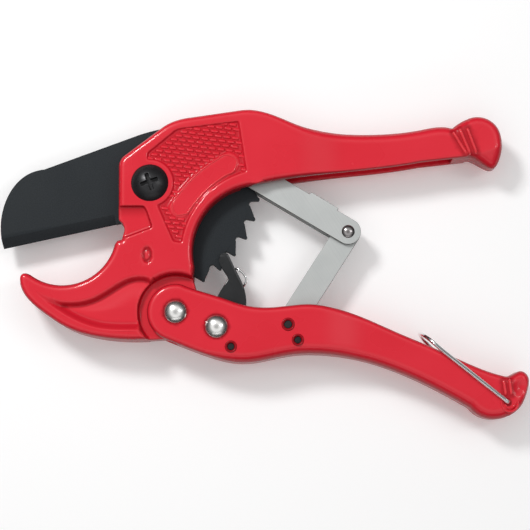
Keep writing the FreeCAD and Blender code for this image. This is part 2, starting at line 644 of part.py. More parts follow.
# ---------------------------------------------------------------- all nodes
NODES = {
    "body_casting": body_casting,
    "blade": blade,
    "blade_pivot_screw": blade_pivot_screw,
    "blade_pivot_bush": blade_pivot_bush,
    "blade_pivot_nut": blade_pivot_nut,
    "blade_pivot_washer": blade_pivot_washer,
    "lower_handle": lower_handle,
    "handle_pivot_rivet": lambda: domed_rivet(HANDLE_PIVOT),
    "handle_pivot_washer": lambda: rivet_washer(HANDLE_PIVOT),
    "handle_pivot_bush": handle_pivot_bush,
    "pawl": pawl,
    "pawl_rivet": lambda: domed_rivet(PAWL_PIVOT),
    "pawl_rivet_washer": lambda: rivet_washer(PAWL_PIVOT),
    "pawl_spacers": pawl_spacers,
    "pawl_spring": pawl_spring,
    "pawl_spring_pin": lambda: cross_pin(PAWL_SPRING_PIN, STOP_PIN_R),
    "upper_link": upper_link,
    "lower_link": lower_link,
    "lower_link_pin": lambda: cross_pin(LOWER_LINK_PIVOT, PIN_R),
    "link_rivet": link_rivet,
    "link_washers": link_washers,
    "opening_spring": opening_spring,
    "spring_stop_pin": lambda: cross_pin(SPRING_STOP_PIN, STOP_PIN_R),
    "locking_bail": locking_bail,
}

for node, make in NODES.items():
    save(node, make())
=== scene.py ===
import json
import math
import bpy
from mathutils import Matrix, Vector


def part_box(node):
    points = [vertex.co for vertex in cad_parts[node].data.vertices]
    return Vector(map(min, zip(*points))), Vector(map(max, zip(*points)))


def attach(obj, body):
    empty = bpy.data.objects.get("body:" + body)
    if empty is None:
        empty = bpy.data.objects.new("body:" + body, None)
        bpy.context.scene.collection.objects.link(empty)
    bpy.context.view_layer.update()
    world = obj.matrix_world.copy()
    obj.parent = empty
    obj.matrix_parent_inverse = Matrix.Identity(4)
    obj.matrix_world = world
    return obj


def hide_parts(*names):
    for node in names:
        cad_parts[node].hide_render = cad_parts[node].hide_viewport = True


bl_info = {
    "name": "Ratchet pipe cutter",
    "version": (1, 0, 0),
    "blender": (4, 5, 0),
    "location": "View3D > Sidebar > Pipe Cutter",
    "description": "Builds the looks of a ratchet pipe cutter round its CAD frame",
    "category": "Object",
}

import bmesh
import bpy
import numpy as np
from mathutils import Vector
from mathutils.bvhtree import BVHTree

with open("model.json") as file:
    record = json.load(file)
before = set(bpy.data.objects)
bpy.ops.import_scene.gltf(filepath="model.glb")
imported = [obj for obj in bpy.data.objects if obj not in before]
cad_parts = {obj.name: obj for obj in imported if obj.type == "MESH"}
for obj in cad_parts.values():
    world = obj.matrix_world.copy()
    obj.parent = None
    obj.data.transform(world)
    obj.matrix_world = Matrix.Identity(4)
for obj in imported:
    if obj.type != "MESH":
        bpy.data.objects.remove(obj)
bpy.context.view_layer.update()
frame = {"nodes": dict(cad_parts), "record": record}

MM = 0.001


# ------------------------------------------------------------------ places read from the frame
def middle(node):
    low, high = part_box(node)
    return (Vector(low) + Vector(high)) / 2


def joint_place(name):
    for joint in frame["record"]["behaviour"]["joints"]:
        if joint["name"] == name:
            return Vector(joint["pos_m"])
    raise RuntimeError("no joint named " + name)


BLADE_AXIS = joint_place("blade_swing")
HANDLE_AXIS = joint_place("handle_squeeze")
PAWL_AXIS = joint_place("pawl_turn")
LINK_AXIS = joint_place("lower_link_turn")
KNEE = joint_place("knee_turn")
BAIL_AXIS = joint_place("bail_swing")
MID = BLADE_AXIS.z
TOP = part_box("body_casting")[1][2]


HALF = TOP - MID
PINS = ("pawl_spring_pin", "lower_link_pin", "spring_stop_pin")
SIDES = (("near", 1), ("far", -1))


def from_pivot(x, y, z=0.0):
    """A place given in millimetres from the blade pivot, with z from the middle plane."""
    return Vector((BLADE_AXIS.x + x * MM, BLADE_AXIS.y + y * MM, MID + z * MM))


def unit(value):
    return min(max(value, 0.0), 1.0)


# ------------------------------------------------------------------ places and depths on the castings
WALL_LEVEL = 6.2 * MM      # above the middle plane, where every outer wall of a casting stands
GRIP_STEP = 2.2 * MM       # how far a grip's face lies below the jaw's
GRIP_HALF = 7.8            # half a grip's thickness, in millimetres
DEEPEST_ROLL = 5.5 * MM    # below a face, where no rolled edge reaches
CASTING_HIGHLIGHT, CASTING_SHADE = 2.4, 3.4    # how strongly bends in a casting show in its paint: painted highlight on its edges, painted shade in its recesses
BODY_GRIP = from_pivot(56, 0).x        # where the face of the body's grip starts to slope down
HANDLE_GRIP = from_pivot(66, 0).x
KNOB_START = from_pivot(127, 0).x
HEEL_START = from_pivot(141, 0).x
LINK_POCKET = from_pivot(42.4, 3.2)    # blind pocket of the upper link's stub
HOOK_DEPTH = 2.4 * MM      # depth of the hook's sunk field
HOOK_EASE = 2.4 * MM       # width of the roll along the field's edge
RIB_EASE = 3.6 * MM        # width of the slope beside the bottom rib
PANEL_DEPTH = 1.0 * MM
PANEL_TILT = math.radians(-7)
PANEL_MIDDLE = from_pivot(20, 4)
PAD_FACE = 9.72            # height of the pad's outline; this and the next two in millimetres
PAD_CENTRE = (54.0, -35.6)
PAD_RADII = (45.5, 52.7)
PAD_TURNS = (149.0, 117.0)
PAD_CORNER = 3.2           # how far the ends bulge, in degrees
OVAL_MIDDLE = from_pivot(-0.8, -28.7)
OVAL_RADII = (1.9 * MM, 3.2 * MM)
NECK_RIBS = [((120.9, 20.6), (125.8, 12.2)), ((123.5, 21.9), (127.3, 12.4)), ((126.4, 22.4), (129.9, 12.6))]
HEEL_RING = from_pivot(141.2, -86.9)
HEEL_RIBS = [((139.0, -78.3), (139.7, -83.6)), ((141.3, -77.9), (141.9, -83.4))]


# ------------------------------------------------------------------ settings a user would change
class CUTTER_finish(bpy.types.PropertyGroup):
    paint: bpy.props.FloatVectorProperty(
        name="Paint", description="Colour of the castings' gloss paint", subtype="COLOR", size=3,
        min=0.0, max=1.0, default=(0.76, 0.014, 0.032))
    # colour of the painted shade in recesses, gaps and on upright walls
    shade_colour: bpy.props.FloatVectorProperty(
        name="Painted shade colour", description="Colour of the painted shade in recesses, gaps and on walls", subtype="COLOR", size=3,
        min=0.0, max=1.0, default=(0.30, 0.002, 0.008))
    coating: bpy.props.FloatVectorProperty(
        name="Blade coating", description="Colour of the blade's non-stick coat", subtype="COLOR", size=3,
        min=0.0, max=1.0, default=(0.016, 0.020, 0.023))
    sheet: bpy.props.FloatVectorProperty(
        name="Sheet steel", description="Colour of the plated links", subtype="COLOR", size=3,
        min=0.0, max=1.0, default=(0.54, 0.56, 0.55))
    gloss: bpy.props.FloatProperty(
        name="Gloss", description="Weight of the paint's clear top coat", subtype="FACTOR",
        min=0.0, max=1.0, default=0.5)
    peel: bpy.props.FloatProperty(
        name="Paint relief", description="Strength of the paint's fine waviness", subtype="FACTOR",
        min=0.0, max=1.0, default=0.12)


class CUTTER_sizes(bpy.types.PropertyGroup):
    cell: bpy.props.FloatProperty(
        name="Skin cell", description="Edge length of the castings' skin before it is thinned",
        unit="LENGTH", default=0.52 * MM, min=0.3 * MM, precision=5)
    brick_length: bpy.props.FloatProperty(
        name="Brick length", description="Length of one brick of the panel's texture", unit="LENGTH",
        default=3.2 * MM, precision=5)
    brick_pitch: bpy.props.FloatProperty(
        name="Brick rows", description="Distance between two rows of bricks", unit="LENGTH",
        default=1.75 * MM, precision=5)
    brick_height: bpy.props.FloatProperty(
        name="Brick height", description="How far a brick stands out of the panel", unit="LENGTH",
        default=0.50 * MM, precision=5)
    bail_wire: bpy.props.FloatProperty(
        name="Bail wire", description="Radius of the locking bail's wire", unit="LENGTH",
        default=0.8 * MM, precision=5)
    spring_wire: bpy.props.FloatProperty(
        name="Spring wire", description="Radius of the springs' wire", unit="LENGTH",
        default=0.45 * MM, precision=5)


def finish_settings():
    return bpy.context.scene.cutter_finish


def size_settings():
    return bpy.context.scene.cutter_sizes


# ------------------------------------------------------------------ shader node groups
def new_group(name, inputs, outputs):
    tree = bpy.data.node_groups.new(name, "ShaderNodeTree")
    for label, kind, value in inputs:
        socket = tree.interface.new_socket(name=label, in_out="INPUT", socket_type="NodeSocket" + kind)
        socket.default_value = value
    for label, kind in outputs:
        tree.interface.new_socket(name=label, in_out="OUTPUT", socket_type="NodeSocket" + kind)
    enter = tree.nodes.new("NodeGroupInput")
    leave = tree.nodes.new("NodeGroupOutput")
    return tree, enter, leave


def noise(tree, scale, detail, vector):
    node = tree.nodes.new("ShaderNodeTexNoise")
    node.inputs["Detail"].default_value = detail
    if isinstance(scale, float):
        node.inputs["Scale"].default_value = scale
    else:
        tree.links.new(scale, node.inputs["Scale"])
    tree.links.new(vector, node.inputs["Vector"])
    return node.outputs["Fac"]


def spread(tree, value, low, high, to_low, to_high):
    node = tree.nodes.new("ShaderNodeMapRange")
    node.inputs["From Min"].default_value = low
    node.inputs["From Max"].default_value = high
    node.inputs["To Min"].default_value = to_low
    node.inputs["To Max"].default_value = to_high
    tree.links.new(value, node.inputs["Value"])
    return node.outputs["Result"]


def maths(tree, operation, first, second):
    node = tree.nodes.new("ShaderNodeMath")
    node.operation = operation
    for socket, value in zip(node.inputs, (first, second)):
        if isinstance(value, (int, float)):
            socket.default_value = value
        else:
            tree.links.new(value, socket)
    return node.outputs[0]


def times(tree, value, factor):
    return maths(tree, "MULTIPLY", value, factor)


def mixed(tree, share, first, second):
    node = tree.nodes.new("ShaderNodeMix")
    node.data_type = "RGBA"
    for socket, value in ((node.inputs[0], share), (node.inputs[6], first), (node.inputs[7], second)):
        if isinstance(value, (int, float, tuple)):
            socket.default_value = value
        else:
            tree.links.new(value, socket)
    return node.outputs[2]


def attribute(tree, name):
    node = tree.nodes.new("ShaderNodeAttribute")
    node.attribute_name = name
    return node.outputs["Fac"]


def colour4(values):
    return (values[0], values[1], values[2], 1.0)


def tone_group():
    """Slow changes of tone, fine speckle and a height for bump, for any finish."""
    tree, enter, leave = new_group(
        "surface_tone",
        [("Vector", "Vector", (0, 0, 0)), ("Slow Scale", "Float", 30.0), ("Fine Scale", "Float", 900.0)],
        [("Slow", "Float"), ("Fine", "Float"), ("Height", "Float")])
    slow = noise(tree, enter.outputs["Slow Scale"], 3.0, enter.outputs["Vector"])
    fine = noise(tree, enter.outputs["Fine Scale"], 2.0, enter.outputs["Vector"])
    tree.links.new(spread(tree, slow, 0.3, 0.7, 0.0, 1.0), leave.inputs["Slow"])
    tree.links.new(spread(tree, fine, 0.35, 0.65, 0.0, 1.0), leave.inputs["Fine"])
    tree.links.new(maths(tree, "ADD", times(tree, slow, 0.6), times(tree, fine, 0.4)), leave.inputs["Height"])
    return tree


def grain_group():
    """Fine lines along one direction, as rolled or ground steel has."""
    tree, enter, leave = new_group(
        "metal_grain",
        [("Vector", "Vector", (0, 0, 0)), ("Angle", "Float", 0.0), ("Density", "Float", 1.0)],
        [("Lines", "Float"), ("Smudge", "Float")])
    turn = tree.nodes.new("ShaderNodeVectorRotate")
    turn.rotation_type = "Z_AXIS"
    tree.links.new(enter.outputs["Vector"], turn.inputs["Vector"])
    tree.links.new(enter.outputs["Angle"], turn.inputs["Angle"])
    stretch = tree.nodes.new("ShaderNodeMapping")
    stretch.inputs["Scale"].default_value = (40.0, 2600.0, 2600.0)
    tree.links.new(turn.outputs["Vector"], stretch.inputs["Vector"])
    scaled = tree.nodes.new("ShaderNodeVectorMath")
    scaled.operation = "SCALE"
    tree.links.new(stretch.outputs["Vector"], scaled.inputs[0])
    tree.links.new(enter.outputs["Density"], scaled.inputs["Scale"])
    lines = noise(tree, 1.0, 3.0, scaled.outputs["Vector"])
    smudge = noise(tree, 60.0, 4.0, enter.outputs["Vector"])
    tree.links.new(spread(tree, lines, 0.3, 0.7, 0.0, 1.0), leave.inputs["Lines"])
    tree.links.new(spread(tree, smudge, 0.35, 0.7, 0.0, 1.0), leave.inputs["Smudge"])
    return tree


def shared_group(name, maker):
    return bpy.data.node_groups.get(name) or maker()


def place_group(tree, group, vector, **values):
    node = tree.nodes.new("ShaderNodeGroup")
    node.node_tree = group
    tree.links.new(vector, node.inputs["Vector"])
    for label, value in values.items():
        node.inputs[label.replace("_", " ")].default_value = value
    return node


def place_tone(tree, where, slow_scale, fine_scale):
    group = shared_group("surface_tone", tone_group)
    return place_group(tree, group, where, Slow_Scale=slow_scale, Fine_Scale=fine_scale)


def place_grain(tree, where, angle):
    return place_group(tree, shared_group("metal_grain", grain_group), where, Angle=angle, Density=1.0)


def new_material(name, **fixed):
    """A material with its Principled shader; fixed values go on the shader's own sockets."""
    material = bpy.data.materials.new(name)
    material.use_nodes = True
    tree = material.node_tree
    shader = tree.nodes["Principled BSDF"]
    for label, value in fixed.items():
        shader.inputs[label.replace("_", " ")].default_value = value
    where = tree.nodes.new("ShaderNodeTexCoord").outputs["Object"]
    return material, tree, shader, where


def bump(tree, shader, height, strength, distance):
    node = tree.nodes.new("ShaderNodeBump")
    node.inputs["Strength"].default_value = strength
    node.inputs["Distance"].default_value = distance
    tree.links.new(height, node.inputs["Height"])
    tree.links.new(node.outputs["Normal"], shader.inputs["Normal"])


def set_roughness(tree, shader, base, value, share):
    tree.links.new(maths(tree, "ADD", base, times(tree, value, share)), shader.inputs["Roughness"])


# ------------------------------------------------------------------ materials
# painted shade on the blade's upright sides
BLADE_FLANK_SHADE = (0.004, 0.004, 0.005, 1.0)
OXIDE = (0.012, 0.012, 0.014, 1.0)
OXIDE_WORN = (0.07, 0.07, 0.075, 1.0)
OXIDE_CLOUD = (0.03, 0.03, 0.033, 1.0)
SHEET_CLOUD = (0.70, 0.71, 0.69, 1.0)
# painted shade on the links' upright sides
SHEET_FLANK_SHADE = (0.06, 0.055, 0.05, 1.0)
DARK_STEEL = (0.012, 0.013, 0.014, 1.0)
DARK_STEEL_CLOUD = (0.026, 0.028, 0.03, 1.0)
# edge wear on the dark steel pieces, and the painted highlight along the pawl's fold
DARK_STEEL_WEAR_AND_HIGHLIGHT = (0.12, 0.125, 0.13, 1.0)
# painted dark reflection along the bail wire's crown
DARK_REFLECTION_LINE = (0.02, 0.02, 0.022, 1.0)
NICKEL = (0.95, 0.94, 0.92, 1.0)
SMOKED_NICKEL = (0.36, 0.34, 0.34, 1.0)
CHROME = (0.90, 0.90, 0.90, 1.0)


def paint_material():
    finish = finish_settings()
    material, tree, shader, where = new_material(
        "gloss_paint", Coat_Roughness=0.07, Coat_IOR=1.5, Specular_IOR_Level=0.2)
    tone = place_tone(tree, where, 45.0, 1400.0)
    base = colour4(finish.paint)
    warm = (min(base[0] * 1.10, 1.0), base[1] * 1.7, base[2] * 1.5, 1.0)
    flat = mixed(tree, times(tree, tone.outputs["Slow"], 0.35), base, warm)
    # painted shade: darker paint in recesses, between bricks and ribs, under the pocket's ledge, round holes
    # and on upright walls
    shaded_paint = mixed(tree, attribute(tree, "painted_shade"), flat, colour4(finish.shade_colour))
    # painted highlight: lighter paint on convex edges and on the raised ribs and beads
    highlight_paint = (min(base[0] * 1.15, 1.0), 0.07, 0.08, 1.0)
    edged = mixed(tree, times(tree, attribute(tree, "edge"), 0.55), shaded_paint, highlight_paint)
    tree.links.new(edged, shader.inputs["Base Color"])
    set_roughness(tree, shader, 0.24, tone.outputs["Slow"], 0.08)
    gloss = maths(tree, "SUBTRACT", finish.gloss, times(tree, attribute(tree, "painted_shade"), 0.55))
    tree.links.new(gloss, shader.inputs["Coat Weight"])
    bump(tree, shader, tone.outputs["Height"], finish.peel, 0.00025)
    return material


def coating_material():
    finish = finish_settings()
    material, tree, shader, where = new_material("blade_coat", Specular_IOR_Level=0.16)
    tone = place_tone(tree, where, 70.0, 2600.0)
    grain = place_grain(tree, where, -0.2)
    base = colour4(finish.coating)
    pale = (base[0] * 2.2, base[1] * 2.0, base[2] * 2.0, 1.0)
    speckle = mixed(tree, times(tree, tone.outputs["Fine"], 0.4), base, pale)
    # painted shade on the blade's upright sides
    flank_shaded_coat = mixed(tree, times(tree, attribute(tree, "flank"), 0.7), speckle, BLADE_FLANK_SHADE)
    tree.links.new(flank_shaded_coat, shader.inputs["Base Color"])
    set_roughness(tree, shader, 0.42, grain.outputs["Smudge"], 0.14)
    bump(tree, shader, tone.outputs["Height"], 0.15, 0.0001)
    return material


def black_screw_material():
    material, tree, shader, where = new_material("black_oxide", Metallic=0.35, Specular_IOR_Level=0.6)
    tone = place_tone(tree, where, 200.0, 3000.0)
    marked = mixed(tree, times(tree, attribute(tree, "edge"), 0.4), OXIDE, OXIDE_WORN)
    clouded = mixed(tree, times(tree, tone.outputs["Slow"], 0.3), marked, OXIDE_CLOUD)
    tree.links.new(clouded, shader.inputs["Base Color"])
    set_roughness(tree, shader, 0.27, tone.outputs["Fine"], 0.12)
    bump(tree, shader, tone.outputs["Height"], 0.2, 0.00008)
    return material


def sheet_steel_material():
    finish = finish_settings()
    material, tree, shader, where = new_material("sheet_steel", Metallic=0.75)
    grain = place_grain(tree, where, 1.0)
    tone = place_tone(tree, where, 110.0, 2600.0)
    base = colour4(finish.sheet)
    dull = (base[0] * 0.82, base[1] * 0.82, base[2] * 0.84, 1.0)
    lined = mixed(tree, times(tree, grain.outputs["Lines"], 0.45), base, dull)
    cloudy = mixed(tree, times(tree, grain.outputs["Smudge"], 0.35), lined, SHEET_CLOUD)
    # painted shade on the sheet's upright sides
    flank_shaded_sheet = mixed(tree, times(tree, attribute(tree, "flank"), 0.85), cloudy, SHEET_FLANK_SHADE)
    tree.links.new(flank_shaded_sheet, shader.inputs["Base Color"])
    set_roughness(tree, shader, 0.40, grain.outputs["Lines"], 0.14)
    height = maths(tree, "ADD", times(tree, grain.outputs["Lines"], 0.5), tone.outputs["Height"])
    bump(tree, shader, height, 0.10, 0.00006)
    return material


def dark_steel_material():
    material, tree, shader, where = new_material("dark_steel", Metallic=0.3, Specular_IOR_Level=0.4)
    tone = place_tone(tree, where, 150.0, 2400.0)
    base = mixed(tree, times(tree, tone.outputs["Slow"], 0.6), DARK_STEEL, DARK_STEEL_CLOUD)
    # lighter edges: wear on pins and washers, a painted highlight on the pawl's fold
    marked = mixed(tree, times(tree, attribute(tree, "edge"), 0.6), base, DARK_STEEL_WEAR_AND_HIGHLIGHT)
    tree.links.new(marked, shader.inputs["Base Color"])
    set_roughness(tree, shader, 0.36, tone.outputs["Fine"], 0.16)
    bump(tree, shader, tone.outputs["Height"], 0.2, 0.0001)
    return material


def bright_material(name, colour, roughness, relief=0.12):
    material, tree, shader, where = new_material(name, Metallic=1.0)
    tone = place_tone(tree, where, 260.0, 2200.0)
    dull = tuple(value * 0.86 for value in colour[:3]) + (1.0,)
    clouded = mixed(tree, times(tree, tone.outputs["Slow"], 0.5), colour, dull)
    # painted dark reflection along the wire's crown
    marked = mixed(tree, attribute(tree, "crown"), clouded, DARK_REFLECTION_LINE)
    tree.links.new(marked, shader.inputs["Base Color"])
    set_roughness(tree, shader, roughness, tone.outputs["Slow"], 0.07)
    bump(tree, shader, tone.outputs["Height"], relief, 0.00008)
    return material


MATERIALS = {}


def make_materials():
    MATERIALS["paint"] = paint_material()
    MATERIALS["coat"] = coating_material()
    MATERIALS["black"] = black_screw_material()
    MATERIALS["sheet"] = sheet_steel_material()
    MATERIALS["dark"] = dark_steel_material()
    MATERIALS["nickel"] = bright_material("bright_nickel", NICKEL, 0.20, 0.30)
    MATERIALS["smoked"] = bright_material("dark_nickel", SMOKED_NICKEL, 0.16)
    MATERIALS["wire"] = bright_material("bright_wire", CHROME, 0.12, 0.01)


# ------------------------------------------------------------------ mesh helpers
def new_object(name, mesh):
    obj = bpy.data.objects.new(name, mesh)
    bpy.context.scene.collection.objects.link(obj)
    return obj


def merged_copy(node, name):
    """The node's CAD mesh as one welded skin in a new object."""
    mesh = frame["nodes"][node].data.copy()
    mesh.materials.clear()
    skin = bmesh.new()
    skin.from_mesh(mesh)
    bmesh.ops.remove_doubles(skin, verts=skin.verts, dist=1e-6)
    skin.to_mesh(mesh)
    skin.free()
    return new_object(name, mesh)


def settle(obj):
    """Replaces the object's mesh by what its modifiers make of it."""
    graph = bpy.context.evaluated_depsgraph_get()
    graph.update()
    mesh = bpy.data.meshes.new_from_object(obj.evaluated_get(graph))
    obj.modifiers.clear()
    old = obj.data
    obj.data = mesh
    bpy.data.meshes.remove(old)
    return obj


def with_skin(obj, cell):
    """Wraps the object in an even skin of small cells, so that its edges can be softened."""
    wrap = obj.modifiers.new("skin", "REMESH")
    wrap.mode = "VOXEL"
    wrap.voxel_size = cell
    return settle(obj)


def read_vectors(items, kind):
    flat = np.empty(len(items) * 3)
    items.foreach_get(kind, flat)
    return flat.reshape(-1, 3)


def read_points(mesh):
    return read_vectors(mesh.vertices, "co")


def store(mesh, name, values, domain="POINT"):
    """Writes one number for each point or face, for the materials to read."""
    mesh.attributes.new(name, "FLOAT", domain).data.foreach_set("value", values)


def write_points(mesh, values):
    mesh.vertices.foreach_set("co", values.ravel())
    mesh.update()


def edge_pairs(mesh):
    flat = np.empty(len(mesh.edges) * 2, dtype=np.int64)
    mesh.edges.foreach_get("vertices", flat)
    return flat.reshape(-1, 2)


def neighbour_mean(values, pairs):
    total = np.zeros_like(values)
    count = np.zeros(len(values))
    np.add.at(total, pairs[:, 0], values[pairs[:, 1]])
    np.add.at(total, pairs[:, 1], values[pairs[:, 0]])
    np.add.at(count, pairs[:, 0], 1)
    np.add.at(count, pairs[:, 1], 1)
    return total / np.maximum(count, 1)[:, None]


def relax(mesh, rounds, weight=None):
    """Evens out the skin without shrinking it: each round pulls in, then pushes back out."""
    pairs = edge_pairs(mesh)
    place = read_points(mesh)
    share = 1.0 if weight is None else weight[:, None]
    for _ in range(rounds):
        for step in (0.5, -0.52):
            place = place + (neighbour_mean(place, pairs) - place) * step * share
    write_points(mesh, place)


def mark_edges(obj, edge_gain, shade_gain):
    """Stores how far each point stands out of, or sinks below, its neighbours' plane; the red paint shows the
    first as a painted highlight and the second as painted shade.
    """
    mesh = obj.data
    pairs = edge_pairs(mesh)
    place = read_points(mesh)
    normals = read_vectors(mesh.vertices, "normal")
    bend = ((place - neighbour_mean(place, pairs)) * normals).sum(axis=1)
    length = np.linalg.norm(place[pairs[:, 0]] - place[pairs[:, 1]], axis=1).mean()
    bend = bend / length
    for _ in range(2):
        bend = 0.5 * bend + 0.5 * neighbour_mean(bend[:, None], pairs)[:, 0]
    store(mesh, "edge", np.clip(bend * edge_gain, 0.0, 1.0))
    store(mesh, "painted_shade", np.clip(-bend * shade_gain, 0.0, 1.0))


SHARP_ANGLE = 40


def smooth_shaded(obj, angle=None):
    obj.data.shade_smooth()
    if angle is not None:
        obj.data.set_sharp_from_angle(angle=math.radians(angle))


def thinned(obj, ratio):
    cut = obj.modifiers.new("highlight_paint", "DECIMATE")
    cut.ratio = ratio
    return settle(obj)


def complete(obj, material, body, slot, *nodes):
    obj.data.materials.clear()
    obj.data.materials.append(MATERIALS[material])
    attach(obj, body)
    if nodes:
        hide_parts(*nodes)


def softened(node, name, width):
    """A sharp CAD piece with its edges eased by a small bevel."""
    obj = merged_copy(node, name)
    skin = bmesh.new()
    skin.from_mesh(obj.data)
    bmesh.ops.dissolve_limit(skin, angle_limit=math.radians(1.0), verts=skin.verts, edges=skin.edges)
    skin.to_mesh(obj.data)
    skin.free()
    ease = obj.modifiers.new("ease", "BEVEL")
    ease.width = width
    ease.segments = 2
    ease.limit_method = "ANGLE"
    ease.angle_limit = math.radians(35.0)
    cut = obj.modifiers.new("cut", "TRIANGULATE")
    cut.min_vertices = 5
    settle(obj)
    smooth_shaded(obj, SHARP_ANGLE)
    even = obj.modifiers.new("even", "WEIGHTED_NORMAL")
    even.keep_sharp = True
    settle(obj)
    mark_flanks(obj.data)
    return obj


def mark_flanks(mesh):
    """Stores which faces stand upright, the cut sides of a plate, from those that lie flat; the blade's and
    the sheet steel's materials darken these sides as painted shade.
    """
    flat = np.abs(read_vectors(mesh.polygons, "normal")[:, 2])
    store(mesh, "flank", np.clip((0.985 - flat) / 0.08, 0.0, 1.0), "FACE")


def even_skinned(node, name, cell, rounds, edge_gain=2.0, shade_gain=2.0):
    """A small piece wrapped in fine cells and relaxed, for pieces whose edges are softly rounded by wear."""
    obj = with_skin(merged_copy(node, name), cell)
    relax(obj.data, rounds)
    mark_edges(obj, edge_gain, shade_gain)
    smooth_shaded(obj)
    return obj


def wire_mesh(name, route, radius, sides=14):
    """A round wire along the route, with domed ends."""
    points = [Vector(point) for point in route]
    tangents = []
    for index, point in enumerate(points):
        before = points[max(index - 1, 0)]
        after = points[min(index + 1, len(points) - 1)]
        tangents.append((after - before).normalized())
    normal = tangents[0].orthogonal().normalized()
    rings = []
    cap = [(0.98, 0.25), (0.8, 0.62), (0.45, 0.9)]
    stations = [(points[0] - tangents[0] * radius * a, tangents[0], radius * b) for a, b in cap]
    stations += [(point, tangent, radius) for point, tangent in zip(points, tangents)]
    stations += [(points[-1] + tangents[-1] * radius * a, tangents[-1], radius * b) for a, b in reversed(cap)]
    skin = bmesh.new()
    for place, tangent, size in stations:
        normal = (normal - tangent * normal.dot(tangent)).normalized()
        side = tangent.cross(normal)
        ring = []
        for step in range(sides):
            turn = math.tau * step / sides
            ring.append(skin.verts.new(place + (normal * math.cos(turn) + side * math.sin(turn)) * size))
        rings.append(ring)
    for first, second in zip(rings[:-1], rings[1:]):
        for step in range(sides):
            after = (step + 1) % sides
            skin.faces.new((first[step], first[after], second[after], second[step]))
    skin.faces.new(list(reversed(rings[0])))
    skin.faces.new(rings[-1])
    bmesh.ops.recalc_face_normals(skin, faces=skin.faces)
    mesh = bpy.data.meshes.new(name)
    skin.to_mesh(mesh)
    skin.free()
    obj = new_object(name, mesh)
    smooth_shaded(obj, 60)
    return obj


def smooth_route(stops, steps=10):
    """A soft curve through the stops."""
    route = []
    for index in range(len(stops) - 1):
        p0 = stops[max(index - 1, 0)]
        p1, p2 = stops[index], stops[index + 1]
        p3 = stops[min(index + 2, len(stops) - 1)]
        for step in range(steps):
            t = step / steps
            route.append(0.5 * ((2 * p1) + (p2 - p0) * t + (2 * p0 - 5 * p1 + 4 * p2 - p3) * t * t
                                + (3 * p1 - p0 - 3 * p2 + p3) * t ** 3))
    route.append(stops[-1])
    return route


# ------------------------------------------------------------------ castings
def wall_tree(obj, low, high, keep=None):
    """The casting's upright walls that reach from low or under it to high or above it."""
    mesh = obj.data
    corners = []
    faces = []
    for face in mesh.polygons:
        if abs(face.normal.z) > 0.25:
            continue
        heights = [mesh.vertices[index].co.z for index in face.vertices]
        if min(heights) > low or max(heights) < high:
            continue
        if keep is not None and not keep(face.center, heights):
            continue
        faces.append([len(corners) + step for step in range(len(face.vertices))])
        corners += [mesh.vertices[index].co.copy() for index in face.vertices]
    return BVHTree.FromPolygons(corners, faces)


def near_holes(spots, reach):
    """Tells whether a wall belongs to one of the bored holes."""
    def test(point):
        return any(math.hypot(point.x - spot.x, point.y - spot.y) < reach for spot in spots)
    return test


def flatten_faces(mesh, face_at, slope_from):
    """Brings points that lie almost in the faces exactly into them; the sloped part gets more reach."""
    place = read_points(mesh)
    limit = np.array([face_at(x) for x in place[:, 0]])
    reach = np.where(place[:, 0] > slope_from, 0.45, 0.15) * MM
    for sign in (1, -1):
        height = MID + sign * (place[:, 2] - MID)
        close = np.abs(height - limit) < reach
        place[close, 2] = MID + sign * (limit[close] - MID)
    write_points(mesh, place)


def round_edges(mesh, walls, radius_at, face_at):
    """Rolls the near and far edges over to the radius that radius_at gives for a wall's direction."""
    place = read_points(mesh)
    for index, (x, y, z) in enumerate(place):
        mirrored = z < MID
        height = 2 * MID - z if mirrored else z
        limit = face_at(x)
        if height < limit - DEEPEST_ROLL:
            continue
        found = walls.find_nearest(Vector((x, y, MID + WALL_LEVEL)))
        spot, normal, distance = found[0], found[1], found[3]
        radius = radius_at(normal, x)
        if distance >= radius or height <= limit - radius:
            continue
        inward = Vector((x - spot.x, y - spot.y, 0))
        square = Vector((-normal.x, -normal.y, 0)).normalized()
        if distance > 0.15 * MM and inward.dot(square) > 0.3 * distance:
            inward.normalize()
        else:
            inward = square
            distance = 0.0
        across = radius - distance
        up = height - (limit - radius)
        length = math.hypot(across, up)
        if length <= radius:
            continue
        across, up = across / length * radius, up / length * radius
        new = spot + inward * (radius - across)
        height = limit - radius + up
        place[index] = (new.x, new.y, 2 * MID - height if mirrored else height)
    write_points(mesh, place)


def grip_face(start, taper, step):
    """Height of the near face along X: the full thickness, then a slope, then the grip's."""
    def at(x):
        share = unit((x - start) / taper)
        return TOP - step * share * share * (3 - 2 * share)
    return at


